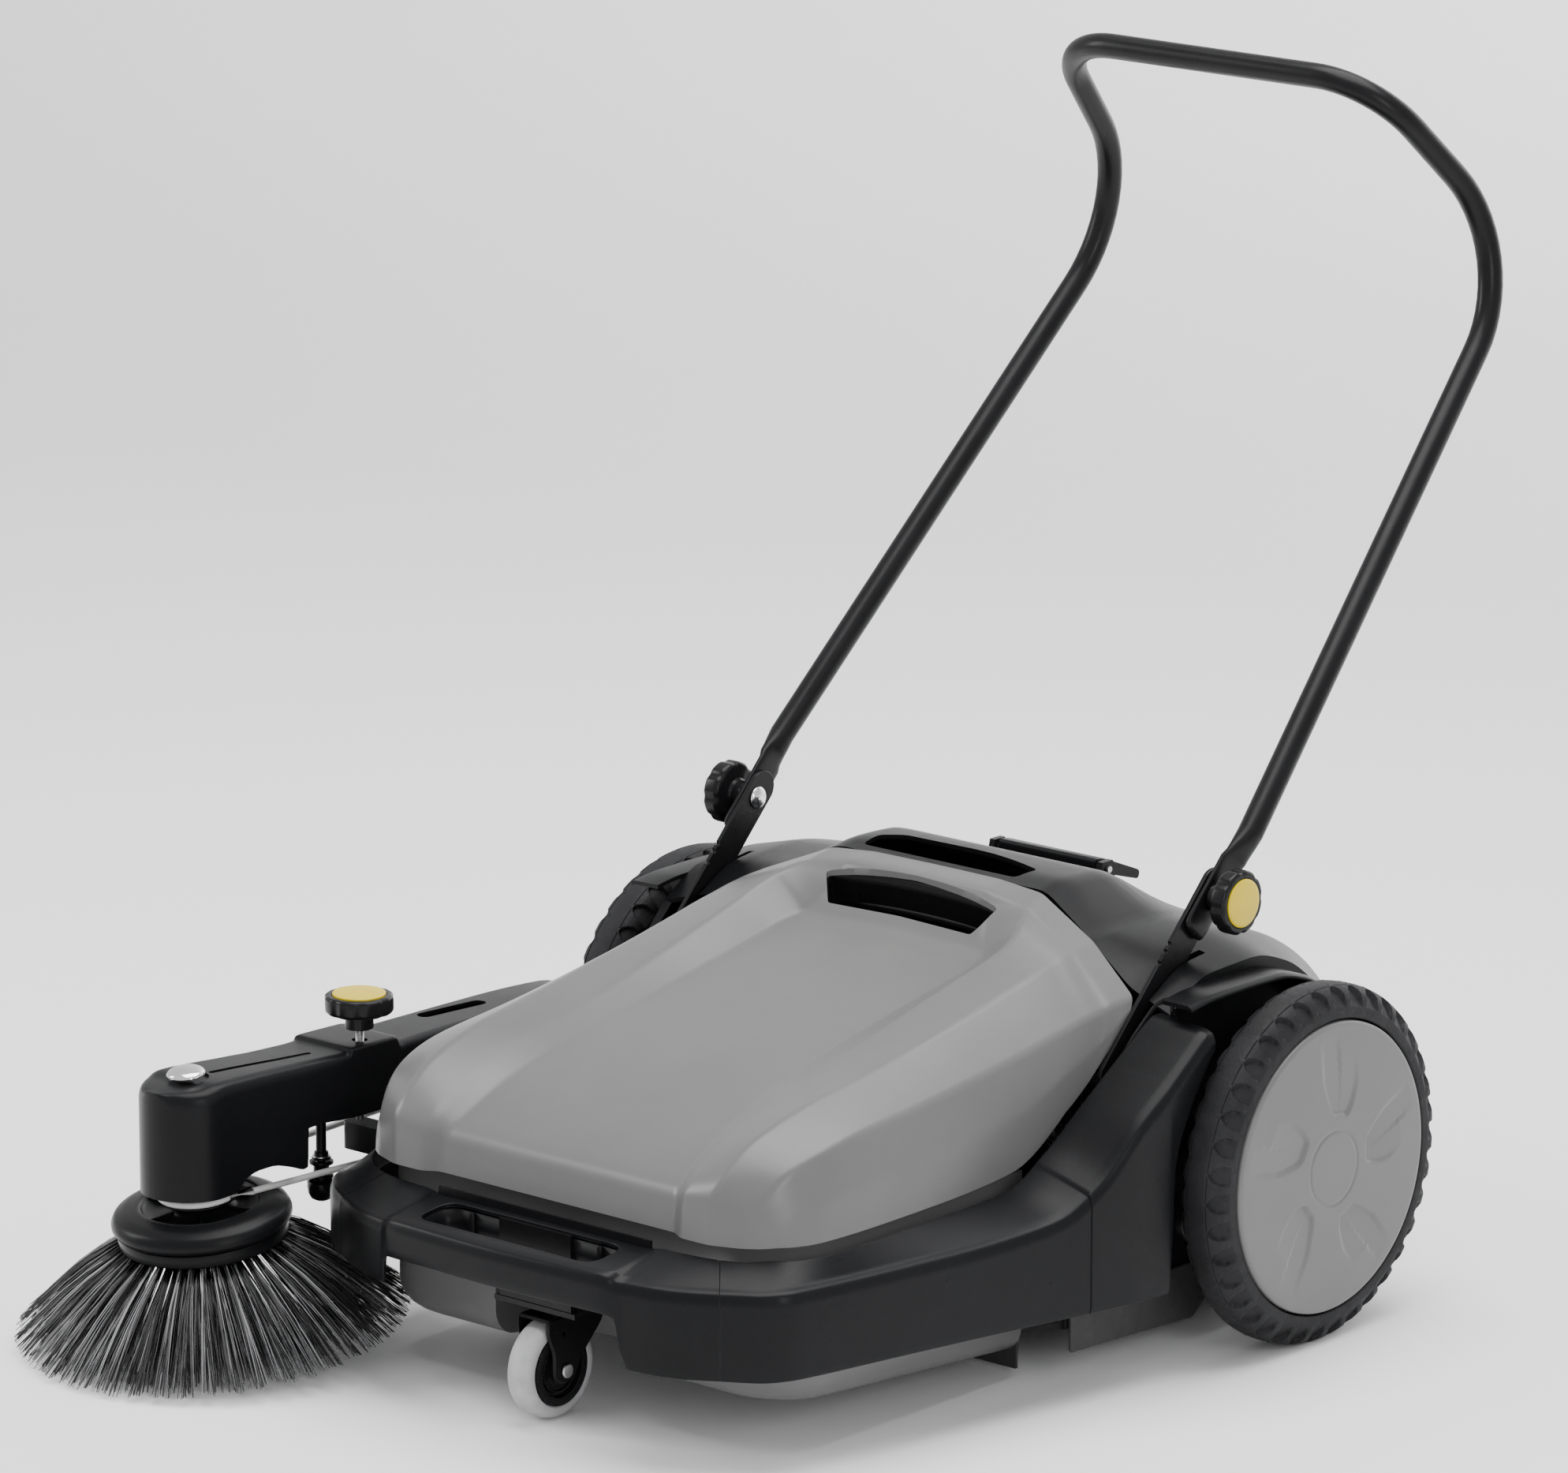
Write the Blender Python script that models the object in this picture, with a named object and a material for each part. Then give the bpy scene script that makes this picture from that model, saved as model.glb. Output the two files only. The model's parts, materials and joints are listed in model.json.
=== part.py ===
"""Walk-behind push sweeper, built as the separate pieces that it comes apart into.

Metres, +Z up, front towards -Y.  The machine is laid out with its rear wheel axis at
Y = 0 and its middle plane at X = 0; every piece hangs from one empty, which moves the
whole layout so that the origin lies on the floor under the middle of the machine.
"""
import math

import bmesh
import bpy
from mathutils import Matrix, Vector

GAP = 0.0004
ORIGIN_SHIFT = (0.0694, 0.1851, 0.0)

# Rear wheels
WHEEL_RADIUS = 0.157
WHEEL_SEGMENTS = 48
TYRE_INNER_RADIUS = 0.129
TYRE_INSIDE_X = 0.325
TYRE_OUTSIDE_X = 0.372
CAP_RADIUS = 0.1275
CAP_FACE_X = 0.3738
AXLE_RADIUS = 0.010
WALL_OUTSIDE_X = 0.285
WALL = 0.004

# Gear drive between wheels and roller
RING_TEETH = 30
PINION_TEETH = 6
RING_PITCH_RADIUS = 0.1105
MODULE = 2.0 * RING_PITCH_RADIUS / RING_TEETH
PINION_PITCH_RADIUS = MODULE * PINION_TEETH / 2.0
GEAR_X = (0.3257, 0.3360)

# Main roller
ROLLER_Y = -0.075
ROLLER_Z = 0.110
ROLLER_RADIUS = 0.1085
ROLLER_HALF_LENGTH = 0.238
ROLLER_CORE_RADIUS = 0.035
ROLLER_SHAFT_RADIUS = 0.007

# Push handle, fixed to the straps at the fold axis
FOLD_Y = -0.0244
FOLD_Z = 0.381
LEG_SLOPE = math.radians(45.3)
TUBE_RADIUS = 0.0113
TUBE_WALL = 0.0016
HANDLE_BEND = (0.2178, 0.4623, 0.8623)
HANDLE_TOP = (0.1763, 0.2956, 1.0286)
STRAP_X = (0.2525, 0.2565)
HANDLE_END_X = 0.2600
HANDLE_END_HALF_THICKNESS = 0.003
BOLT_RADIUS = 0.004
KNOB_RADIUS = 0.0280

# Front caster
SWIVEL_Y = -0.553
CASTER_Y = -0.579
CASTER_RADIUS = 0.0435
CASTER_HALF_WIDTH = 0.013

# Side brush on its arm
BRUSH_BASE = (-0.344, -0.628, 0.0235)
BRUSH_TILT = math.radians(7.2)
BRUSH_RADIUS = 0.171
BELT_RADIUS = 0.003
BRUSH_PULLEY_RADIUS = 0.034
BRUSH_PULLEY_Z = 0.1200
DRIVE_PULLEY_RADIUS = 0.036
BELT_ARC_STEPS = 8
DRIVE_BELT_X = -0.3027
SPINDLE = (-0.305, -0.484)
IDLER = (-0.3205, -0.517)

# Hopper
TUB_HALF_WIDTH = 0.232
TUB_FRONT_Y = -0.552
TUB_REAR_Y = -0.243
TUB_RIM_Z = 0.1828
TUB_CORNER = 0.062
TUB_FLOOR_FRONT = 0.044
TUB_FLOOR_REAR = 0.020
SHELL = 0.0035
LID_ROWS = (
    ((0, -0.078, 0.374), (0.095, -0.078, 0.374), (0.128, -0.078, 0.371), (0.185, -0.092, 0.342),
     (0.243, -0.110, 0.308), (0.248, -0.118, 0.300), (0.2495, -0.126, 0.290)),
    ((0, -0.100, 0.368), (0.095, -0.100, 0.368), (0.128, -0.112, 0.366), (0.185, -0.122, 0.340),
     (0.240, -0.140, 0.303), (0.247, -0.155, 0.278), (0.2495, -0.175, 0.250)),
    ((0, -0.150, 0.325), (0.105, -0.150, 0.325), (0.137, -0.150, 0.351), (0.187, -0.155, 0.335),
     (0.238, -0.180, 0.298), (0.247, -0.200, 0.262), (0.2495, -0.215, 0.222)),
    ((0, -0.250, 0.306), (0.110, -0.250, 0.306), (0.139, -0.250, 0.325), (0.188, -0.250, 0.316),
     (0.237, -0.250, 0.286), (0.246, -0.265, 0.238), (0.2490, -0.275, 0.192)),
    ((0, -0.370, 0.283), (0.118, -0.370, 0.283), (0.140, -0.370, 0.293), (0.187, -0.370, 0.296),
     (0.235, -0.370, 0.271), (0.245, -0.370, 0.228), (0.2480, -0.370, 0.186)),
    ((0, -0.470, 0.262), (0.125, -0.470, 0.262), (0.143, -0.470, 0.268), (0.186, -0.470, 0.280),
     (0.233, -0.470, 0.262), (0.243, -0.470, 0.222), (0.2460, -0.470, 0.185)),
    ((0, -0.535, 0.240), (0.128, -0.535, 0.240), (0.146, -0.535, 0.243), (0.183, -0.532, 0.258),
     (0.224, -0.525, 0.246), (0.237, -0.520, 0.214), (0.2420, -0.515, 0.185)),
    ((0, -0.572, 0.215), (0.130, -0.572, 0.215), (0.149, -0.572, 0.217), (0.180, -0.566, 0.225),
     (0.212, -0.553, 0.215), (0.226, -0.545, 0.200), (0.2330, -0.538, 0.185)),
    ((0, -0.580, 0.185), (0.130, -0.580, 0.185), (0.150, -0.579, 0.185), (0.178, -0.574, 0.185),
     (0.203, -0.566, 0.185), (0.216, -0.558, 0.185), (0.2240, -0.549, 0.185)),
)


# ---------------------------------------------------------------- materials

def material(name, colour, roughness, metallic=0.0):
    made = bpy.data.materials.new(name)
    made.use_nodes = True
    shader = made.node_tree.nodes["Principled BSDF"]
    shader.inputs["Base Color"].default_value = (*colour, 1.0)
    shader.inputs["Roughness"].default_value = roughness
    shader.inputs["Metallic"].default_value = metallic
    return made


def make_materials():
    return {
        "black": material("black_plastic", (0.018, 0.018, 0.020), 0.42),
        "grey": material("grey_plastic", (0.19, 0.19, 0.19), 0.45),
        "tyre": material("tyre_rubber", (0.025, 0.025, 0.026), 0.75),
        "rubber": material("rubber", (0.02, 0.02, 0.02), 0.70),
        "steel": material("steel", (0.55, 0.55, 0.55), 0.35, 1.0),
        "chrome": material("chrome", (0.80, 0.80, 0.80), 0.10, 1.0),
        "yellow": material("yellow_cap", (0.95, 0.78, 0.02), 0.35),
        "paint": material("black_paint", (0.012, 0.012, 0.013), 0.35, 0.3),
        "bristle": material("bristle_black", (0.03, 0.03, 0.03), 0.5),
        "belt": material("belt_white", (0.80, 0.80, 0.78), 0.5),
        "white": material("caster_white", (0.72, 0.72, 0.73), 0.55),
    }


# ---------------------------------------------------------------- mesh helpers

def empty(name, location, rotation=(0.0, 0.0, 0.0), parent=None):
    made = bpy.data.objects.new(name, None)
    made.location = location
    made.rotation_euler = rotation
    made.parent = parent
    bpy.context.collection.objects.link(made)
    return made


def add_object(name, bm, paint, parent, origin=(0.0, 0.0, 0.0), smooth=0.6):
    """Turn bm, drawn in the parent's space, into an object whose own origin is at origin."""
    bmesh.ops.recalc_face_normals(bm, faces=bm.faces)
    bm.transform(Matrix.Translation(-Vector(origin)))
    mesh = bpy.data.meshes.new(name)
    bm.to_mesh(mesh)
    bm.free()
    if paint:
        mesh.materials.append(paint)
    if smooth:
        mesh.shade_smooth()
        mesh.set_sharp_from_angle(angle=smooth)
    made = bpy.data.objects.new(name, mesh)
    made.location = origin
    made.parent = parent
    bpy.context.collection.objects.link(made)
    return made


def add_tool(name, bm, parent):
    """A hidden operand for a Boolean."""
    made = add_object(name, bm, None, parent, smooth=0)
    made.hide_render = True
    made.display_type = "WIRE"
    return made


def combine(target, tool, operation):
    step = target.modifiers.new(operation.lower(), "BOOLEAN")
    step.operation = operation
    step.object = tool


def skin(bm, rings, wrap_rings=False, wrap_points=True, caps=True):
    """Join rings of points into one surface; a ring of one point is a pole."""
    rows = [[bm.verts.new(point) for point in ring] for ring in rings]
    pairs = list(zip(rows, rows[1:]))
    if wrap_rings:
        pairs.append((rows[-1], rows[0]))
    for here, there in pairs:
        count = max(len(here), len(there))
        for index in range(count if wrap_points else count - 1):
            after = (index + 1) % count
            corners = []
            for row, place in ((here, index), (here, after), (there, after), (there, index)):
                vertex = row[place] if len(row) > 1 else row[0]
                if vertex not in corners:
                    corners.append(vertex)
            bm.faces.new(corners)
    if caps and not wrap_rings:
        for row in (rows[0], rows[-1]):
            if len(row) > 2:
                bm.faces.new(row)


def turned(axis, centre, profile, segments, closed=False, phase=0.0):
    """Rings of a turned piece.  The profile lists (radius, along) or (radius, along, shape),
    where shape(angle) scales the radius; closed means that the profile is a loop."""
    first, second = {"X": ((0, 1, 0), (0, 0, 1)), "Z": ((1, 0, 0), (0, 1, 0))}[axis]
    forward = Vector(first).cross(Vector(second))
    bm = bmesh.new()
    angles = [phase + 2.0 * math.pi * step / segments for step in range(segments)]

    def place(item, angle):
        radius = item[0] * (item[2](angle) if len(item) > 2 else 1.0)
        across = Vector(first) * math.cos(angle) + Vector(second) * math.sin(angle)
        return Vector(centre) + forward * item[1] + across * radius

    rings = []
    for item in profile:
        chosen = angles if item[0] > 0.0 else angles[:1]
        rings.append([place(item, angle) for angle in chosen])
    skin(bm, rings, wrap_rings=closed, caps=False)
    return bm


def rod(radius, low, high):
    """Profile of a plain round bar."""
    return ((0.0, low), (radius, low), (radius, high), (0.0, high))


def slab(outline, axis, low, high):
    """Extrude an outline of (first, second) points along axis from low to high."""
    bm = bmesh.new()
    if axis == "X":
        rings = [[(level, a, b) for a, b in outline] for level in (low, high)]
    else:
        rings = [[(a, b, level) for a, b in outline] for level in (low, high)]
    skin(bm, rings)
    return bm


def box(low, high):
    outline = ((low[0], low[1]), (high[0], low[1]), (high[0], high[1]), (low[0], high[1]))
    return slab(outline, "Z", low[2], high[2])


def add_bevel(target, width, segments=2, angle=0.6):
    step = target.modifiers.new("bevel", "BEVEL")
    step.width = width
    step.segments = segments
    step.limit_method = "ANGLE"
    step.angle_limit = angle
    return step


def oval_ring(point, first, second, first_size, second_size, sides):
    """Points of an oval around a point, in the plane of two directions."""
    angles = [2.0 * math.pi * step / sides for step in range(sides)]
    return [point + first * (first_size * math.cos(angle)) + second * (second_size * math.sin(angle))
            for angle in angles]


def rounded_path(corners, radii, steps):
    """Replace each inner corner of a path with an arc of the given radius."""
    path = [Vector(corners[0])]
    for index in range(1, len(corners) - 1):
        corner = Vector(corners[index])
        back = (Vector(corners[index - 1]) - corner).normalized()
        ahead = (Vector(corners[index + 1]) - corner).normalized()
        half = back.angle(ahead) / 2.0
        radius = radii[index - 1]
        reach = radius / math.tan(half)
        middle = corner + (back + ahead).normalized() * (radius / math.sin(half))
        start = corner + back * reach - middle
        end = corner + ahead * reach - middle
        sweep = start.angle(end)
        for step in range(steps + 1):
            part = step / steps
            arc = (start * math.sin((1 - part) * sweep) + end * math.sin(part * sweep)) / math.sin(sweep)
            path.append(middle + arc)
    path.append(Vector(corners[-1]))
    return path


def strip_ends(length, width, steps=6):
    """Outline of a flat bar with round ends, along its own first direction."""
    half = width / 2.0
    points = []
    for centre, start in ((length, -math.pi / 2), (0.0, math.pi / 2)):
        for step in range(steps + 1):
            angle = start + math.pi * step / steps
            points.append((centre + half * math.cos(angle), half * math.sin(angle)))
    return points


# ---------------------------------------------------------------- frame

def wall_sections(outer, inner, lip):
    """Closed sections of a thin wall with a ledge that ends in a lip hanging down.
    outer lists (x, y, bottom z, top z); inner lists (x, y, z) of the ledge's inner edge."""
    sections = []
    for (x, y, low, high), (inner_x, inner_y, inner_z) in zip(outer, inner):
        inward = Vector((inner_x - x, inner_y - y, 0.0)).normalized()
        edge = Vector((x, y, 0.0))
        rim = Vector((inner_x, inner_y, 0.0))
        up = Vector((0.0, 0.0, 1.0))
        sections.append([
            edge + up * low,
            edge + up * (high - 0.010),
            edge + inward * 0.003 + up * (high - 0.003),
            edge + inward * 0.010 + up * high,
            rim + up * inner_z,
            rim + up * (inner_z - lip),
            rim - inward * WALL + up * (inner_z - lip),
            rim - inward * WALL + up * (inner_z - WALL),
            edge + inward * 0.012 + up * (high - WALL),
            edge + inward * WALL + up * (high - 0.012),
            edge + inward * WALL + up * low,
        ])
    return sections


BUMPER_HALF = (
    # outer x, y, bottom, top, then inner x, y, z
    (0.000, -0.657, 0.132, 0.168, 0.000, -0.584, 0.176),
    (0.060, -0.655, 0.132, 0.168, 0.060, -0.584, 0.176),
    (0.120, -0.649, 0.131, 0.167, 0.115, -0.584, 0.176),
    (0.130, -0.643, 0.127, 0.162, 0.128, -0.584, 0.176),
    (0.138, -0.640, 0.088, 0.160, 0.138, -0.584, 0.175),
    (0.180, -0.625, 0.082, 0.159, 0.165, -0.581, 0.175),
    (0.212, -0.608, 0.082, 0.159, 0.186, -0.577, 0.175),
)
SIDE_LEFT = (
    (0.2145, -0.6065, 0.082, 0.159, 0.188, -0.5765, 0.175),
    (0.243, -0.587, 0.082, 0.159, 0.205, -0.570, 0.175),
    (0.262, -0.562, 0.083, 0.160, 0.230, -0.548, 0.176),
    (0.276, -0.500, 0.083, 0.160, 0.251, -0.496, 0.177),
    (0.296, -0.400, 0.082, 0.161, 0.2535, -0.398, 0.178),
    (0.315, -0.300, 0.080, 0.168, 0.2545, -0.298, 0.180),
    (0.325, -0.250, 0.079, 0.192, 0.2590, -0.248, 0.205),
    (0.332, -0.205, 0.078, 0.235, 0.2610, -0.203, 0.236),
    (0.335, -0.166, 0.078, 0.263, 0.2640, -0.164, 0.264),
)
POST_HEAD = ((-0.172, 0.205), (-0.1655, 0.205), (-0.1180, 0.272), (-0.1130, 0.285), (-0.1130, 0.297),
             (-0.1200, 0.297), (-0.172, 0.2585))
SIDE_RIGHT = (
    (0.2145, -0.6065, 0.088, 0.159, 0.188, -0.5765, 0.175),
    (0.243, -0.587, 0.099, 0.159, 0.205, -0.570, 0.175),
    (0.262, -0.562, 0.103, 0.160, 0.230, -0.548, 0.176),
    (0.272, -0.500, 0.090, 0.160, 0.2505, -0.496, 0.177),
    (0.277, -0.400, 0.082, 0.160, 0.2530, -0.398, 0.178),
    (0.279, -0.300, 0.080, 0.162, 0.2535, -0.298, 0.180),
    (0.279, -0.257, 0.079, 0.178, 0.2535, -0.256, 0.196),
)


def mirrored(point, side):
    return (point[0] * side, point[1], point[2])


def walled(name, stations, paint, parent, lip=0.030):
    bm = bmesh.new()
    outer = [station[:4] for station in stations]
    inner = [station[4:] for station in stations]
    skin(bm, wall_sections(outer, inner, lip))
    return add_object(name, bm, paint, parent, smooth=0.5)


def flipped(stations, side):
    return [(s[0] * side, s[1], s[2], s[3], s[4] * side, s[5], s[6]) for s in stations]


def build_front_bumper(paint, root):
    raised = [(s[0], s[1], max(s[2], 0.103), *s[3:]) for s in BUMPER_HALF[:0:-1]]
    stations = flipped(raised, -1.0) + list(BUMPER_HALF)
    bumper = walled("front_bumper", stations, paint, root, lip=0.022)
    grip = add_tool("cut_grip", box((-0.098, -0.636, 0.12), (0.098, -0.600, 0.20)), root)
    add_bevel(grip, 0.012, 3)
    combine(bumper, grip, "DIFFERENCE")


def build_side_panels(paint, root):
    left = walled("side_panel_left", SIDE_LEFT, paint, root)
    head = slab(POST_HEAD, "X", 0.2870, 0.3350)
    combine(left, add_tool("join_post_head", head, root), "UNION")
    right = walled("side_panel_right", flipped(SIDE_RIGHT, -1.0), paint, root, lip=0.022)
    x, y = SPINDLE
    boss = add_tool("join_boss", box((x - 0.012, y - 0.011, 0.152), (-0.2700, y + 0.011, 0.1760)), root)
    combine(right, boss, "UNION")


def housing_row(rear_y, rear_z, saddle, side):
    """One line across the housing: saddle holds (y, z) in the middle, side at the cheeks."""
    middle_y, middle_z = saddle
    cheek_y, cheek_z = side
    half = [(0.040, middle_y, middle_z), (0.118, middle_y, middle_z), (0.175, rear_y, rear_z),
            (0.235, rear_y, rear_z - 0.004), (WALL_OUTSIDE_X, cheek_y, cheek_z)]
    return [mirrored(point, -1.0) for point in reversed(half)] + half


def build_rear_housing(paint, root):
    rows = [
        housing_row(0.150, 0.059, (0.150, 0.055), (0.150, 0.055)),
        housing_row(0.171, 0.124, (0.171, 0.120), (0.171, 0.120)),
        housing_row(0.176, 0.194, (0.176, 0.190), (0.174, 0.190)),
        housing_row(0.164, 0.259, (0.164, 0.262), (0.134, 0.245)),
        housing_row(0.122, 0.304, (0.122, 0.308), (0.090, 0.285)),
        housing_row(0.066, 0.331, (0.066, 0.338), (0.048, 0.314)),
        housing_row(0.004, 0.343, (0.002, 0.373), (0.000, 0.327)),
        housing_row(-0.050, 0.343, (-0.040, 0.375), (-0.060, 0.325)),
        housing_row(-0.0860, 0.343, (-0.0740, 0.371), (-0.1120, 0.300)),
    ]
    bm = bmesh.new()
    skin(bm, rows, wrap_points=False, caps=False)
    width = len(rows[0])
    for edge, side in ((0, -1.0), (width - 1, 1.0)):
        bm.verts.ensure_lookup_table()
        ring = [bm.verts[index * width + edge] for index in range(len(rows))]
        front = ((-0.198, 0.212), (-0.250, 0.165), (-0.250, 0.055))
        ring += [bm.verts.new((side * WALL_OUTSIDE_X, y, z)) for y, z in front]
        bm.faces.new(ring)
    housing = add_object("rear_housing", bm, paint, root, smooth=0.5)
    shell = housing.modifiers.new("shell", "SOLIDIFY")
    shell.thickness = WALL
    shell.offset = -1.0
    shell.use_even_offset = True
    slot = add_tool("cut_carry_slot", box((-0.080, -0.056, 0.33), (0.080, -0.020, 0.40)), root)
    add_bevel(slot, 0.008, 2)
    combine(housing, slot, "DIFFERENCE")
    for side in (-1.0, 1.0):
        bore = turned("X", (0, ROLLER_Y, ROLLER_Z), rod(0.016, side * 0.26, side * 0.30), 20)
        combine(housing, add_tool("cut_roller_bore", bore, root), "DIFFERENCE")
        low, high = sorted((side * (STRAP_X[0] - 0.0015), side * (STRAP_X[1] + 0.0015)))
        pocket = box((low, -0.16, 0.20), (high, -0.030, 0.40))
        combine(housing, add_tool("cut_strap_slot", pocket, root), "DIFFERENCE")
        arch = ((-0.122, 0.3150), (-0.090, 0.3185), (-0.050, 0.3190), (0.000, 0.3180), (0.034, 0.3105),
                (0.062, 0.2970), (0.100, 0.2660), (0.128, 0.2220), (0.146, 0.160))
        outline = list(arch) + [(y * 0.975, z - 0.004) for y, z in reversed(arch)]
        low, high = sorted((side * (WALL_OUTSIDE_X - 0.002), side * 0.316))
        combine(housing, add_tool("join_arch", slab(outline, "X", low, high), root), "UNION")


def build_seals(paint, root):
    for name, side in (("side_skirt_left", 1.0), ("side_skirt_right", -1.0)):
        outline = ((-0.246, 0.034), (-0.080, 0.026), (-0.062, 0.040), (-0.062, 0.075), (-0.246, 0.075))
        low, high = sorted((side * (WALL_OUTSIDE_X + GAP), side * (WALL_OUTSIDE_X + 0.0034)))
        add_object(name, slab(outline, "X", low, high), paint, root)
    add_object("rear_seal", box((-0.278, 0.1405, 0.005), (0.278, 0.1440, 0.080)), paint, root)


def build_straps(paints, root):
    direction = Vector((0.0, math.cos(LEG_SLOPE), math.sin(LEG_SLOPE)))
    normal = Vector((0.0, -math.sin(LEG_SLOPE), math.cos(LEG_SLOPE)))
    fold = Vector((0.0, FOLD_Y, FOLD_Z))
    foot = fold - direction * 0.185
    for name, side in (("left", 1.0), ("right", -1.0)):
        outline = []
        for along, across in strip_ends(0.196, 0.030):
            point = foot + direction * along + normal * across
            outline.append((point.y, point.z))
        low, high = sorted((side * STRAP_X[0], side * STRAP_X[1]))
        strap = add_object(name + "_handle_strap", slab(outline, "X", low, high), paints["paint"], root)
        combine(strap, fold_bore(name, side, root), "DIFFERENCE")
        profile = ((0.0, 0.2480), (0.006, 0.2486), (0.0098, 0.2502), (0.0102, 0.2521),
                   (BOLT_RADIUS, 0.2521), (BOLT_RADIUS, 0.2800), (0.0, 0.2800))
        bolt = turned("X", (0, FOLD_Y, FOLD_Z), [(r, side * x) for r, x in profile], 16)
        add_object(name + "_handle_bolt", bolt, paints["chrome"], root, (0, FOLD_Y, FOLD_Z))


def fold_bore(name, side, root):
    bore = turned("X", (0, FOLD_Y, FOLD_Z), rod(BOLT_RADIUS + GAP, side * 0.24, side * 0.29), 16)
    return add_tool("cut_bolt_" + name, bore, root)


def build_height_lever(paints, root):
    pin_y, pin_z = 0.078, 0.350
    ears = ((0.067, 0.3410), (0.090, 0.3285), (pin_y + 0.007, pin_z + 0.007), (pin_y - 0.007, pin_z + 0.007))
    plate = ((0.040, 0.3540), (0.066, 0.3394), (0.096, 0.3232), (0.096, 0.3275), (0.066, 0.3437),
             (0.040, 0.3583))
    bracket = add_object("lever_bracket", slab(plate, "X", -0.066, 0.066), paints["black"], root)
    for name, low in (("a", -0.064), ("b", 0.058)):
        combine(bracket, add_tool("join_ear_" + name, slab(ears, "X", low, low + 0.006), root), "UNION")
    pin_radius = 0.0030
    bore = turned("X", (0, pin_y, pin_z), rod(pin_radius + GAP, -0.070, 0.070), 12)
    combine(bracket, add_tool("cut_pin_bore", bore, root), "DIFFERENCE")
    pin = turned("X", (0, pin_y, pin_z), rod(pin_radius, -0.0665, 0.0665), 12)
    add_object("lever_pin", pin, paints["steel"], root, (0, pin_y, pin_z))
    paddle = ((pin_y - 0.007, pin_z - 0.006), (pin_y + 0.006, pin_z - 0.007), (0.134, 0.328),
              (0.136, 0.336), (pin_y + 0.007, pin_z + 0.006), (pin_y - 0.006, pin_z + 0.007))
    lever = add_object("height_lever", slab(paddle, "X", -0.0545, 0.0545), paints["black"], root,
                       (0, pin_y, pin_z))
    bore = turned("X", (0, pin_y, pin_z), rod(pin_radius + GAP, -0.060, 0.060), 12)
    combine(lever, add_tool("cut_lever_bore", bore, root), "DIFFERENCE")


# ---------------------------------------------------------------- wheels and roller

def tooth_shape(teeth, tip, root_radius, tip_half, root_half):
    """Corner angles and radii of one gear outline, tooth centred on angle zero."""
    pitch = 2.0 * math.pi / teeth
    corners = []
    for tooth in range(teeth):
        centre = tooth * pitch
        for offset, radius in ((-root_half, root_radius), (-tip_half, tip), (tip_half, tip),
                               (root_half, root_radius)):
            corners.append((centre + offset * pitch, radius))
    return corners


def mesh_angle():
    """Direction from the wheel axis to the roller axis, in the Y-Z plane."""
    return math.atan2(ROLLER_Z - WHEEL_RADIUS, ROLLER_Y)


def gear_rings(corners, centre_y, centre_z, turn, levels):
    return [[(x, centre_y + r * math.cos(a + turn), centre_z + r * math.sin(a + turn))
             for a, r in corners] for x in levels]


def build_wheel(name, side, paints, root):
    hub = empty(name + "_wheel_axis", (0, 0, WHEEL_RADIUS), parent=root)

    def sided(profile):
        return [(radius, side * x) for radius, x in profile]

    crown = 1.0 / math.cos(math.pi / WHEEL_SEGMENTS)
    inside, outside = TYRE_INSIDE_X, TYRE_OUTSIDE_X
    tyre = ((TYRE_INNER_RADIUS, inside), (0.149, inside), (0.1552, inside + 0.004),
            (WHEEL_RADIUS, inside + 0.011), (WHEEL_RADIUS, outside - 0.011), (0.1552, outside - 0.004),
            (0.149, outside), (TYRE_INNER_RADIUS, outside))
    half_step = math.pi / WHEEL_SEGMENTS
    bm = turned("X", (0, 0, 0), sided([(r * crown, x) for r, x in tyre]), WHEEL_SEGMENTS,
                closed=True, phase=half_step - math.pi / 2)
    add_object(name + "_tyre", bm, paints["tyre"], hub)
    rim = TYRE_INNER_RADIUS - GAP
    disc = ((AXLE_RADIUS + GAP, 0.3095), (0.021, 0.3095), (0.024, 0.3375), (0.112, 0.3400),
            (0.1215, 0.3365), (0.1215, 0.3257), (rim, 0.3257), (rim, 0.3655), (0.118, 0.3655),
            (0.112, 0.3480), (0.026, 0.3460), (0.020, 0.3600), (AXLE_RADIUS + GAP, 0.3600))
    bm = turned("X", (0, 0, 0), sided(disc), 32, closed=True)
    add_object(name + "_wheel_disc", bm, paints["black"], hub)
    gear = bmesh.new()
    root_radius = RING_PITCH_RADIUS + 1.15 * MODULE
    corners = tooth_shape(RING_TEETH, RING_PITCH_RADIUS - 0.85 * MODULE, root_radius, 0.13, 0.26)
    turn = mesh_angle() + math.pi / RING_TEETH
    inner = gear_rings(corners, 0.0, 0.0, turn, [side * GEAR_X[0], side * GEAR_X[1]])
    outer = gear_rings([(a, 0.1200) for a, r in corners], 0.0, 0.0, turn,
                       [side * GEAR_X[1], side * GEAR_X[0]])
    skin(gear, inner + outer, wrap_rings=True)
    add_object(name + "_ring_gear", gear, paints["black"], hub, smooth=0)
    cap = ((0.0, 0.3660), (CAP_RADIUS - 0.002, 0.3660), (CAP_RADIUS, 0.3680),
           (CAP_RADIUS, 0.3720), (CAP_RADIUS - 0.003, CAP_FACE_X), (0.080, 0.3752), (0.034, 0.3762),
           (0.031, 0.3745), (0.0, 0.3748))
    add_object(name + "_wheel_cap", turned("X", (0, 0, 0), sided(cap), WHEEL_SEGMENTS), paints["grey"], hub)
    stub = ((0.0, WALL_OUTSIDE_X + GAP), (0.024, WALL_OUTSIDE_X + GAP), (0.024, 0.2885),
            (AXLE_RADIUS, 0.2885), (AXLE_RADIUS, 0.3650), (0.0, 0.3650))
    add_object(name + "_axle_stub", turned("X", (0, 0, WHEEL_RADIUS), sided(stub), 24), paints["steel"], root)
    return hub


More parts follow.
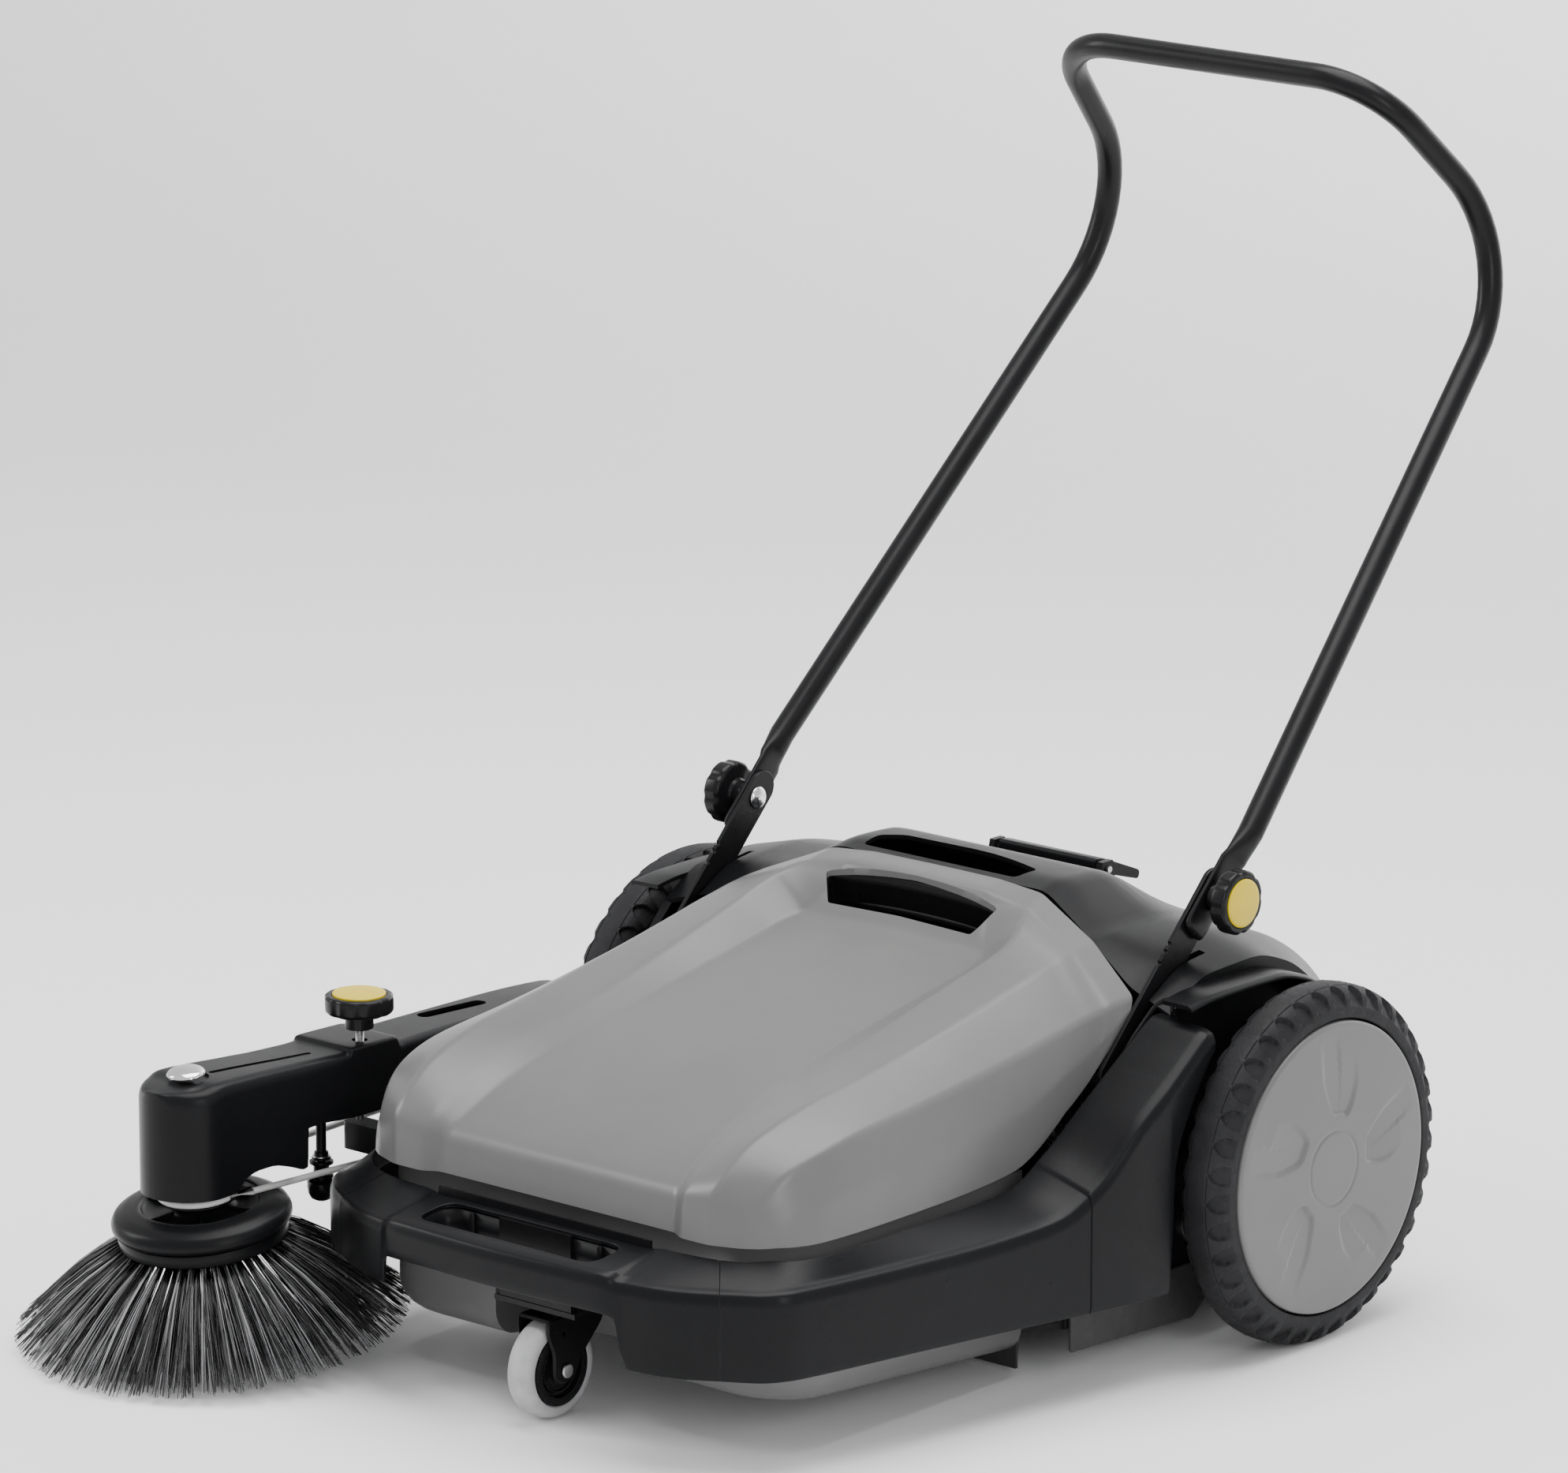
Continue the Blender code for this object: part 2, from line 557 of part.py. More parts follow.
def build_roller(paints, root):
    axis = empty("roller_axis", (0, ROLLER_Y, ROLLER_Z), parent=root)
    half = ROLLER_HALF_LENGTH
    shaft = turned("X", (0, 0, 0), rod(ROLLER_SHAFT_RADIUS, -0.3365, 0.3365), 16)
    add_object("roller_shaft", shaft, paints["steel"], axis)
    bore = ROLLER_SHAFT_RADIUS + GAP
    core = ((bore, -half - 0.006), (ROLLER_CORE_RADIUS + 0.006, -half - 0.006),
            (ROLLER_CORE_RADIUS + 0.006, -half - GAP), (ROLLER_CORE_RADIUS, -half - GAP),
            (ROLLER_CORE_RADIUS, half + GAP), (ROLLER_CORE_RADIUS + 0.006, half + GAP),
            (ROLLER_CORE_RADIUS + 0.006, half + 0.006), (bore, half + 0.006))
    add_object("roller_core", turned("X", (0, 0, 0), core, 24, closed=True), paints["black"], axis)
    rows, steps, lobes, sides = 8, 6, 0.20, 32
    bm = bmesh.new()
    outer, inner = [], []
    for step in range(steps + 1):
        x = -half + 2.0 * half * step / steps
        twist = abs(x) * 4.0
        ring, hole = [], []
        for index in range(sides):
            angle = 2.0 * math.pi * index / sides
            wave = 0.5 + 0.5 * math.cos(rows * (angle - twist))
            radius = ROLLER_RADIUS * (1.0 - lobes * (1.0 - wave))
            ring.append((x, radius * math.cos(angle), radius * math.sin(angle)))
            bore = ROLLER_CORE_RADIUS + GAP
            hole.append((x, bore * math.cos(angle), bore * math.sin(angle)))
        outer.append(ring)
        inner.append(hole)
    skin(bm, outer + inner[::-len(inner) + 1], wrap_rings=True)
    add_object("roller_bristles", bm, paints["bristle"], axis)
    for name, side, parent in (("left", 1.0, axis), ("right", -1.0, root)):
        centre = (0, 0, 0) if parent is axis else (0, ROLLER_Y, ROLLER_Z)
        gear = bmesh.new()
        corners = tooth_shape(PINION_TEETH, PINION_PITCH_RADIUS + 0.85 * MODULE,
                              PINION_PITCH_RADIUS - 1.15 * MODULE, 0.10, 0.24)
        levels = [side * GEAR_X[0], side * GEAR_X[1]]
        teeth = gear_rings(corners, centre[1], centre[2], mesh_angle(), levels)
        bore = gear_rings([(a, ROLLER_SHAFT_RADIUS + GAP) for a, r in corners], centre[1], centre[2],
                          mesh_angle(), levels[::-1])
        skin(gear, teeth + bore, wrap_rings=True)
        add_object(name + "_pinion", gear, paints["black"], parent, centre, smooth=0)
        bush = ((ROLLER_SHAFT_RADIUS + GAP, 0.2790), (0.0155, 0.2790), (0.0155, WALL_OUTSIDE_X + GAP),
                (0.0200, WALL_OUTSIDE_X + GAP), (0.0200, 0.2885), (ROLLER_SHAFT_RADIUS + GAP, 0.2885))
        bm = turned("X", (0, ROLLER_Y, ROLLER_Z), [(r, side * x) for r, x in bush], 20, closed=True)
        add_object(name + "_roller_bush", bm, paints["steel"], root)


# ---------------------------------------------------------------- hopper

def tub_block(inset, rear_y, raise_floor, top):
    """Solid of the lower hopper: round front corners, floor sloping down to the mouth."""
    corner = TUB_CORNER - inset

    def level(shrink, lift):
        half = TUB_HALF_WIDTH - inset - shrink
        front = TUB_FRONT_Y + inset + shrink
        radius = corner - shrink
        side = [(half, rear_y)]
        for step in range(5):
            angle = math.radians(22.5 * step)
            side.append((half - radius + radius * math.cos(angle), front + radius - radius * math.sin(angle)))
        points = side + [(-x, y) for x, y in reversed(side)]
        slope = (TUB_FLOOR_REAR - TUB_FLOOR_FRONT) / (TUB_REAR_Y - TUB_FRONT_Y)
        return [(x, y, TUB_FLOOR_FRONT + slope * (y - TUB_FRONT_Y) + lift) for x, y in points]

    bottom = level(0.014, raise_floor)
    middle = level(0.0, raise_floor + 0.016)
    bm = bmesh.new()
    skin(bm, [bottom, middle, [(x, y, top) for x, y, z in middle]])
    return bm


def build_hopper(paints, root):
    rows = [[mirrored(point, -1.0) for point in reversed(row[1:])] + list(row) for row in LID_ROWS]
    bm = bmesh.new()
    skin(bm, rows, wrap_points=False, caps=False)
    lid = add_object("hopper_lid", bm, paints["grey"], root, smooth=0.5)
    shell = lid.modifiers.new("shell", "SOLIDIFY")
    shell.thickness = SHELL
    shell.offset = -1.0
    shell.use_even_offset = True
    slot = add_tool("cut_lid_slot", box((-0.086, -0.144, 0.29), (0.086, -0.112, 0.40)), root)
    combine(lid, slot, "DIFFERENCE")

    tub = add_object("hopper_tub", tub_block(0.0, TUB_REAR_Y, 0.0, TUB_RIM_Z), paints["grey"], root,
                     smooth=0.5)
    edge = [row[-1] for row in LID_ROWS[3:]] + list(LID_ROWS[-1][-2::-1])
    half = [(x - 0.0025, y + 0.002) for x, y, z in edge if x > 0.0]
    outline = half + [(-x, y) for x, y in reversed(half)]
    combine(tub, add_tool("join_flange", slab(outline, "Z", TUB_RIM_Z - 0.0034, TUB_RIM_Z), root), "UNION")
    notch = add_tool("cut_notch", box((-0.086, -0.60, 0.0), (0.086, -0.472, 0.108)), root)
    combine(tub, notch, "DIFFERENCE")
    thick = 0.0035
    inner = add_tool("cut_inside", tub_block(thick, TUB_REAR_Y + 0.02, thick, 0.25), root)
    wide_notch = box((-0.086 - thick, -0.60, 0.0), (0.086 + thick, -0.472 + thick, 0.108 + thick))
    combine(inner, add_tool("cut_notch_inside", wide_notch, root), "DIFFERENCE")
    combine(tub, inner, "DIFFERENCE")
    add_object("front_flap", box((-0.226, -0.2425, 0.006), (0.226, -0.2395, 0.046)), paints["rubber"], root)


# ---------------------------------------------------------------- handle

def build_handle(paints, root):
    axis = empty("handle_axis", (0, FOLD_Y, FOLD_Z), parent=root)
    direction = Vector((0.0, math.cos(LEG_SLOPE), math.sin(LEG_SLOPE)))
    fold = Vector((0.0, FOLD_Y, FOLD_Z))

    def leg(side):
        end = Vector((side * HANDLE_END_X, 0, 0)) + fold
        return [end - direction * 0.040, end, end + direction * 0.030,
                Vector((side * 0.2640, 0, 0)) + fold + direction * 0.062]

    corners = []
    for side in (1.0, -1.0):
        half = [leg(side)[-1], Vector(mirrored(HANDLE_BEND, side)), Vector(mirrored(HANDLE_TOP, side))]
        corners += half if side > 0 else half[::-1]
    path = rounded_path(corners, (0.11, 0.075, 0.075, 0.11), 5)
    path = leg(1.0)[:-1] + path + leg(-1.0)[-2::-1]
    flat = (HANDLE_END_HALF_THICKNESS, 0.0150)
    sizes = [flat] * 3 + [(TUBE_RADIUS, TUBE_RADIUS)] * (len(path) - 6) + [flat] * 3
    points = [point - fold for point in path]
    sides = 12
    across = Vector((1.0, 0.0, 0.0))
    outer, inner = [], []
    for index, (point, (thin, wide)) in enumerate(zip(points, sizes)):
        before = points[max(index - 1, 0)]
        after = points[min(index + 1, len(points) - 1)]
        along = (after - before).normalized()
        across = (across - along * along.dot(across)).normalized()
        second = along.cross(across)
        outer.append(oval_ring(point, across, second, thin, wide, sides))
        inner.append(oval_ring(point, across, second, thin - TUBE_WALL, wide - TUBE_WALL, sides))
    bm = bmesh.new()
    skin(bm, outer + inner[::-1], wrap_rings=True)
    handle = add_object("push_handle", bm, paints["paint"], axis)
    for name, side in (("left", 1.0), ("right", -1.0)):
        bore = turned("X", (0, 0, 0), rod(BOLT_RADIUS + GAP, side * 0.24, side * 0.29), 16)
        combine(handle, add_tool("cut_handle_" + name, bore, axis), "DIFFERENCE")


def lobed(angle):
    return 1.0 - 0.045 * (1.0 + math.cos(8.0 * angle))


def knob_profile(radius, direction):
    """Star knob along its own axis from its foot: bore, stem, lobed head and seat of its cap."""
    bore = BOLT_RADIUS + GAP
    rows = ((0.0, 0.0200), (bore, 0.0200), (bore, 0.0), (0.0125, 0.0), (0.0125, 0.0115),
            (radius - 0.003, 0.0135, lobed), (radius, 0.0160, lobed), (radius, 0.0265, lobed),
            (radius - 0.0035, 0.0300, lobed), (0.0, 0.0300))
    return [(row[0], direction * row[1], *row[2:]) for row in rows]


def cap_profile(radius, direction):
    rows = ((0.0, 0.0300 + GAP), (radius - 0.0065, 0.0300 + GAP), (radius - 0.0065, 0.0312),
            (radius - 0.0100, 0.0320), (0.0, 0.0330))
    return [(row[0], direction * row[1]) for row in rows]


def build_knobs(paints, root):
    foot = HANDLE_END_X + HANDLE_END_HALF_THICKNESS + GAP
    for name, side in (("left", 1.0), ("right", -1.0)):
        axis = empty(name + "_knob_axis", (side * foot, FOLD_Y, FOLD_Z), parent=root)
        bm = turned("X", (0, 0, 0), knob_profile(KNOB_RADIUS, side), 48)
        add_object(name + "_handle_knob", bm, paints["black"], axis)
        bm = turned("X", (0, 0, 0), cap_profile(KNOB_RADIUS, side), 32)
        add_object(name + "_knob_cap", bm, paints["yellow"], axis)
    axis = empty("spindle_axis", (*SPINDLE, 0.2590), parent=root)
    radius = 0.0300
    add_object("side_brush_knob", turned("Z", (0, 0, 0), knob_profile(radius, 1.0), 48), paints["black"], axis)
    add_object("side_brush_knob_cap", turned("Z", (0, 0, 0), cap_profile(radius, 1.0), 32),
               paints["yellow"], axis)
    spindle = ((0.0, -0.0825), (0.003, -0.0825), (BOLT_RADIUS, -0.0810), (BOLT_RADIUS, 0.0195), (0.0, 0.0195))
    add_object("side_brush_spindle", turned("Z", (0, 0, 0), spindle, 16), paints["steel"], axis)


# ---------------------------------------------------------------- caster

def build_caster(paints, root):
    mount = add_object("caster_mount", box((-0.045, -0.598, 0.0975), (0.045, -0.506, 0.1020)),
                       paints["black"], root)
    post = box((-0.040, -0.597, 0.0990), (0.040, -0.5895, 0.1690))
    combine(mount, add_tool("join_post", post, root), "UNION")
    swivel = empty("swivel_axis", (0, SWIVEL_Y, 0), parent=root)
    race = ((0.0, 0.0920), (0.0190, 0.0920), (0.0215, 0.0940), (0.0215, 0.0971), (0.0, 0.0971))
    add_object("caster_bearing", turned("Z", (0, SWIVEL_Y, 0), race, 24), paints["steel"], root)
    ahead = CASTER_Y - SWIVEL_Y
    outline = ((-0.048, 0.0916), (0.022, 0.0916), (0.022, 0.0800), (-0.008, 0.0480), (-0.012, 0.0370),
               (ahead, 0.0300), (-0.040, 0.0370), (-0.040, 0.0600), (-0.048, 0.0780))
    leg = CASTER_HALF_WIDTH + 0.0050
    fork = add_object("caster_fork", slab(outline, "X", -leg, leg), paints["paint"], swivel)
    room = box((-leg + 0.003, -0.08, 0.0), (leg - 0.003, 0.06, 0.0886))
    combine(fork, add_tool("cut_fork", room, swivel), "DIFFERENCE")
    bore = turned("X", (0, ahead, CASTER_RADIUS), rod(0.0042, -0.03, 0.03), 12)
    combine(fork, add_tool("cut_fork_bore", bore, swivel), "DIFFERENCE")
    axle = ((0, -leg - 0.003), (0.0065, -leg - 0.003), (0.0065, -leg - GAP), (0.0038, -leg - GAP),
            (0.0038, leg + GAP), (0.0065, leg + GAP), (0.0065, leg + 0.003), (0, leg + 0.003))
    add_object("caster_axle", turned("X", (0, ahead, CASTER_RADIUS), axle, 16), paints["steel"], swivel)
    wheel = empty("caster_axis", (0, ahead, CASTER_RADIUS), parent=swivel)
    sides = 32
    crown = 1.0 / math.cos(math.pi / sides)
    half = CASTER_HALF_WIDTH
    tyre = ((0.0290, -half), (0.0385, -half), (0.0420, -half + 0.003), (CASTER_RADIUS, -half + 0.008),
            (CASTER_RADIUS, half - 0.008), (0.0420, half - 0.003), (0.0385, half), (0.0290, half))
    bm = turned("X", (0, 0, 0), [(r * crown, x) for r, x in tyre], sides, closed=True,
                phase=math.pi / sides - math.pi / 2)
    add_object("caster_tyre", bm, paints["white"], wheel)
    hub = ((0.0042, -half - 0.0012), (0.0100, -half - 0.0012), (0.0110, -half + 0.004),
           (0.0230, -half + 0.004), (0.0240, -half - 0.0008), (0.0285, -half - 0.0008),
           (0.0285, half + 0.0008), (0.0240, half + 0.0008), (0.0230, half - 0.004),
           (0.0110, half - 0.004), (0.0100, half + 0.0012), (0.0042, half + 0.0012))
    add_object("caster_hub", turned("X", (0, 0, 0), hub, sides, closed=True), paints["black"], wheel)


# ---------------------------------------------------------------- side brush

def arm_stations():
    """Stations of the arm cover: y, middle x, half width, bottom z, top z."""
    head_x, head_y, head_radius = -0.344, -0.654, 0.042
    stations = []
    for angle in (75, 50, 25):
        drop = math.radians(angle)
        stations.append((head_y - head_radius * math.sin(drop), head_x, head_radius * math.cos(drop),
                         0.146, 0.2440 - 0.004 * math.sin(drop)))
    stations += [
        (head_y, head_x, head_radius, 0.147, 0.2460),
        (-0.628, -0.3400, 0.0400, 0.160, 0.2460),
        (-0.600, -0.3360, 0.0380, 0.163, 0.2460),
        (-0.564, -0.3310, 0.0362, 0.153, 0.2450),
        (-0.556, -0.3298, 0.0359, 0.190, 0.2450),
        (-0.522, -0.3250, 0.0347, 0.188, 0.2450),
        (-0.508, -0.3240, 0.0345, 0.187, 0.2482),
        (-0.455, -0.3225, 0.0335, 0.187, 0.2475),
        (-0.446, -0.3220, 0.0325, 0.187, 0.2410),
        (-0.280, -0.3200, 0.0310, 0.190, 0.2400),
        (-0.200, -0.3180, 0.0290, 0.196, 0.2360),
    ]
    return stations


def arm_block(inset, floor):
    bm = bmesh.new()
    rings = []
    stations = arm_stations()
    for index, (y, middle, half, low, high) in enumerate(stations):
        if index == 0:
            y += inset
        if index == len(stations) - 1:
            y -= inset
        wide = max(half - inset, 0.002)
        top = high - inset
        bottom = low if floor is None else floor
        edge = min(0.010, wide * 0.5)
        rings.append([(middle - wide, y, bottom), (middle - wide, y, top - edge),
                      (middle - wide + edge * 0.3, y, top - edge * 0.3), (middle - wide + edge, y, top),
                      (middle + wide - edge, y, top), (middle + wide - edge * 0.3, y, top - edge * 0.3),
                      (middle + wide, y, top - edge), (middle + wide, y, bottom)])
    skin(bm, rings)
    return bm


def build_arm(paints, root):
    axis = empty("arm_axis", (0, 0, WHEEL_RADIUS), parent=root)
    to_axis = Matrix.Translation((0, 0, -WHEEL_RADIUS))

    def tool(name, bm):
        bm.transform(to_axis)
        return add_tool(name, bm, axis)

    body = arm_block(0.0, None)
    body.transform(to_axis)
    arm = add_object("side_brush_arm", body, paints["black"], axis, smooth=0.5)
    combine(arm, tool("cut_arm_inside", arm_block(0.0035, 0.10)), "DIFFERENCE")
    bar = ((-0.215, 0.235), (-0.215, 0.200), (-0.060, 0.158), (-0.012, 0.139), (0.010, 0.139),
           (0.020, 0.150), (0.020, 0.166), (0.010, 0.177), (-0.050, 0.192))
    combine(arm, tool("join_bar", slab(bar, "X", -0.2962, -0.2890)), "UNION")
    bore = turned("X", (0, 0, WHEEL_RADIUS), rod(AXLE_RADIUS + GAP, -0.31, -0.28), 24)
    combine(arm, tool("cut_arm_bore", bore), "DIFFERENCE")
    hole = turned("Z", (*SPINDLE, 0), rod(0.0075, 0.23, 0.28), 16)
    combine(arm, tool("cut_spindle_hole", hole), "DIFFERENCE")
    tilt = empty("brush_tilt", Vector(BRUSH_BASE) - Vector((0, 0, WHEEL_RADIUS)), (BRUSH_TILT, 0, 0), axis)
    shaft_hole = turned("Z", (0, 0, 0), rod(0.0078, 0.20, 0.26), 16)
    combine(arm, add_tool("cut_shaft_hole", shaft_hole, tilt), "DIFFERENCE")
    dome = ((0.0, 0.2262), (0.0165, 0.2262), (0.0160, 0.2290), (0.0110, 0.2315), (0.0, 0.2325))
    add_object("arm_dome_cap", turned("Z", (0, 0, 0), dome, 24), paints["chrome"], tilt)
    sleeve = ((0.0074, 0.1300), (0.0130, 0.1300), (0.0130, 0.2150), (0.0074, 0.2150))
    add_object("brush_bearing", turned("Z", (0, 0, 0), sleeve, 20, closed=True), paints["steel"], tilt)
    pin_x, pin_y = IDLER
    pin = ((0, 0.1255), (0.0070, 0.1255), (0.0070, 0.1295), (0.0035, 0.1295), (0.0035, 0.2400), (0, 0.2400))
    bm = turned("Z", (pin_x, pin_y, 0), pin, 12)
    bm.transform(to_axis)
    add_object("idler_pin", bm, paints["steel"], axis)
    idler = ((0.0040, 0.1300), (0.0105, 0.1300), (0.0105, 0.1325), (0.0070, 0.1345), (0.0070, 0.1405),
             (0.0105, 0.1425), (0.0105, 0.1450), (0.0040, 0.1450))
    wheel = empty("idler_axis", (pin_x, pin_y, -WHEEL_RADIUS), parent=axis)
    add_object("idler_pulley", turned("Z", (0, 0, 0), idler, 20, closed=True), paints["black"], wheel)
    build_belt(paints, axis, tilt)
    return tilt


def pulley_profile(bore, radius, middle):
    """Grooved pulley: the belt's middle line runs at radius in the plane at middle."""
    groove = radius * math.cos(math.pi / (2 * BELT_ARC_STEPS)) - BELT_RADIUS - 2 * GAP
    rows = ((bore, -0.0065), (radius - 0.0015, -0.0065), (radius - 0.0015, -0.0048), (groove, -0.0030),
            (groove, 0.0030), (radius - 0.0015, 0.0048), (radius - 0.0015, 0.0060), (bore, 0.0060))
    return [(r, middle + x) for r, x in rows]


def build_belt(paints, axis, tilt):
    """Round belt from the wheel's pulley, lying in an upright plane, to the brush's pulley."""
    centre = Vector((0, 0, BRUSH_PULLEY_Z))
    turn = Matrix.Rotation(BRUSH_TILT, 3, "X")
    base = Vector(BRUSH_BASE)
    points = []
    arc = BELT_ARC_STEPS
    for step in range(arc + 1):
        angle = -math.pi * step / arc
        flat = Vector((math.cos(angle), math.sin(angle), 0)) * BRUSH_PULLEY_RADIUS + centre
        points.append(base + turn @ flat)
    for step in range(arc + 1):
        angle = math.pi / 2 - math.pi * step / arc
        points.append(Vector((DRIVE_BELT_X, DRIVE_PULLEY_RADIUS * math.cos(angle),
                              WHEEL_RADIUS + DRIVE_PULLEY_RADIUS * math.sin(angle))))
    points = [point - Vector((0, 0, WHEEL_RADIUS)) for point in points]
    bm = bmesh.new()
    sides = 8
    count = len(points)
    loops = []
    across = Vector((0.0, 0.0, 1.0))
    for index, point in enumerate(points):
        along = (points[(index + 1) % count] - points[index - 1]).normalized()
        across = (across - along * along.dot(across)).normalized()
        loops.append(oval_ring(point, across, along.cross(across), BELT_RADIUS, BELT_RADIUS, sides))
    first = (points[1] - points[-1]).normalized()
    final = (across - first * first.dot(across)).normalized()
    start = (loops[0][0] - points[0]).normalized()
    shift = round(math.atan2(start.dot(first.cross(final)), start.dot(final)) / (2 * math.pi / sides))
    rows = [[bm.verts.new(point) for point in loop] for loop in loops]
    for index in range(count):
        here = rows[index]
        there = rows[(index + 1) % count]
        offset = 0 if index < count - 1 else -shift
        for step in range(sides):
            bm.faces.new((here[step], here[(step + 1) % sides], there[(step + 1 + offset) % sides],
                          there[(step + offset) % sides]))
    add_object("drive_belt", bm, paints["belt"], axis)


def build_side_brush(paints, tilt):
    bristle = ((0.0500, 0.0760), (0.0700, 0.0775), (0.0900, 0.0700), (0.1250, 0.0440),
               (BRUSH_RADIUS, 0.0030), (0.1700, 0.0), (0.1350, 0.0), (0.1000, 0.0400), (0.0650, 0.0660))
    add_object("brush_bristles", turned("Z", (0, 0, 0), bristle, 40, closed=True), paints["bristle"], tilt)
    ring = ((0.0500, 0.0780), (0.0725, 0.0780), (0.0725, 0.0895), (0.0500, 0.0895))
    add_object("brush_ring", turned("Z", (0, 0, 0), ring, 40, closed=True), paints["black"], tilt)
    head = ((0.0074, 0.0900), (0.0740, 0.0900), (0.0776, 0.0935), (0.0776, 0.0990), (0.0720, 0.1060),
            (0.0600, 0.1090), (0.0480, 0.1110), (0.0074, 0.1120))
    add_object("brush_head", turned("Z", (0, 0, 0), head, 40, closed=True), paints["black"], tilt)
    pulley = pulley_profile(0.0074, BRUSH_PULLEY_RADIUS, BRUSH_PULLEY_Z)
    add_object("brush_pulley", turned("Z", (0, 0, 0), pulley, 32, closed=True), paints["black"], tilt)
    shaft = turned("Z", (0, 0, 0), rod(0.0070, 0.0860, 0.2240), 16)
    add_object("brush_shaft", shaft, paints["steel"], tilt)


def build_drive_pulley(paints, hub):
    pulley = pulley_profile(AXLE_RADIUS + GAP, DRIVE_PULLEY_RADIUS, DRIVE_BELT_X)
    bm = turned("X", (0, 0, 0), pulley, 32, closed=True)
    add_object("drive_pulley", bm, paints["black"], hub)


def main():
    for old in list(bpy.data.objects):
        bpy.data.objects.remove(old, do_unlink=True)
    paints = make_materials()
    root = empty("machine_origin", ORIGIN_SHIFT)
    build_front_bumper(paints["black"], root)
    build_side_panels(paints["black"], root)
    build_rear_housing(paints["black"], root)
    build_seals(paints["rubber"], root)
    build_straps(paints, root)
    build_height_lever(paints, root)
    build_wheel("left", 1.0, paints, root)
    right_hub = build_wheel("right", -1.0, paints, root)
    build_drive_pulley(paints, right_hub)
    build_roller(paints, root)
    build_hopper(paints, root)
    build_handle(paints, root)
    build_knobs(paints, root)
    build_caster(paints, root)
    tilt = build_arm(paints, root)
    build_side_brush(paints, tilt)


main()
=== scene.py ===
"""Looks of a walk-behind push sweeper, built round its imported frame."""
import json
import math
import random

import bmesh
import bpy
from mathutils import Matrix, Vector


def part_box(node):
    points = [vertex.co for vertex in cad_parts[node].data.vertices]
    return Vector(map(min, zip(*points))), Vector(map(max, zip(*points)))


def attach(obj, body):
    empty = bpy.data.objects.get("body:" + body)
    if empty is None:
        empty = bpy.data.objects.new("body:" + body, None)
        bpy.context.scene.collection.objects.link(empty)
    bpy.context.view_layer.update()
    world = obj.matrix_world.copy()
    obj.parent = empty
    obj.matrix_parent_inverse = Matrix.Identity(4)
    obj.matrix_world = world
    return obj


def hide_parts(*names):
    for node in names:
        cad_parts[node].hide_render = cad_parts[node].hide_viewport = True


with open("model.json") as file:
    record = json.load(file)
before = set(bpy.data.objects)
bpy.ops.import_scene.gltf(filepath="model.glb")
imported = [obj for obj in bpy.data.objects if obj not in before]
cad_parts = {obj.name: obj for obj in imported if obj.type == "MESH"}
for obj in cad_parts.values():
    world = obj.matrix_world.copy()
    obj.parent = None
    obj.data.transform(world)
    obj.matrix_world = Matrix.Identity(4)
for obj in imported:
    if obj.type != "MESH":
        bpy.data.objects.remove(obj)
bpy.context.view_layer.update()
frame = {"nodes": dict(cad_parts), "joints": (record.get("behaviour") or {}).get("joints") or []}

JOINTS = {joint["name"]: joint for joint in frame["joints"]}
WHEEL_Y, WHEEL_Z = JOINTS["left_wheel_spin"]["pos_m"][1:]
MIDDLE_X = (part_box("left_tyre")[0][0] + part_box("right_tyre")[1][0]) / 2.0
# Every piece is drawn in a layout with the wheel axis at Y = 0 and the middle plane at X = 0.
LAYOUT = Vector((MIDDLE_X, WHEEL_Y, 0.0))


def placed(point):
    """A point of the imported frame, in the layout."""
    return Vector(point) - LAYOUT


FOLD = placed(JOINTS["handle_fold"]["pos_m"])
ROLLER = placed(JOINTS["roller_spin"]["pos_m"])
SWIVEL = placed(JOINTS["caster_swivel"]["pos_m"])
CASTER = placed(JOINTS["caster_spin"]["pos_m"])
SPINDLE = placed(JOINTS["side_brush_knob_turn"]["pos_m"])
IDLER = placed(JOINTS["idler_spin"]["pos_m"])
BRUSH = placed(JOINTS["side_brush_spin"]["pos_m"])
BRUSH_AXIS = Vector(JOINTS["side_brush_spin"]["axis"]).normalized()
TYRE_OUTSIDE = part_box("left_tyre")[1][0] - MIDDLE_X
TYRE_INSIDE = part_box("left_tyre")[0][0] - MIDDLE_X
CAP_RADIUS = 0.1275
WALL_OUTSIDE_X = 0.285
LEG_SLOPE = math.radians(45.3)
TUBE_RADIUS = 0.0113
HANDLE_BEND = (0.2178, 0.4610, 0.8620)
HANDLE_TOP = (0.1763, 0.2956, 1.0286)
STRAP_X = (0.2525, 0.2565)
HANDLE_END_X = 0.2600
BELT_RADIUS = 0.003
BRUSH_PULLEY_RADIUS = 0.034
BRUSH_PULLEY_Z = 0.1200
DRIVE_PULLEY_RADIUS = 0.036
DRIVE_BELT_X = -0.3027
BRUSH_RADIUS = 0.171
ROLLER_RADIUS = 0.1085
ROLLER_HALF_LENGTH = 0.238
CASTER_RADIUS = CASTER.z


# ---------------------------------------------------------------- materials

def texture(tree, kind, scale, stretch=(1.0, 1.0, 1.0), **values):
    coordinates = tree.nodes.new("ShaderNodeTexCoord")
    mapping = tree.nodes.new("ShaderNodeMapping")
    mapping.inputs["Scale"].default_value = stretch
    tree.links.new(coordinates.outputs["Object"], mapping.inputs["Vector"])
    node = tree.nodes.new(kind)
    node.inputs["Scale"].default_value = scale
    for key, value in values.items():
        node.inputs[key].default_value = value
    tree.links.new(mapping.outputs["Vector"], node.inputs["Vector"])
    return node


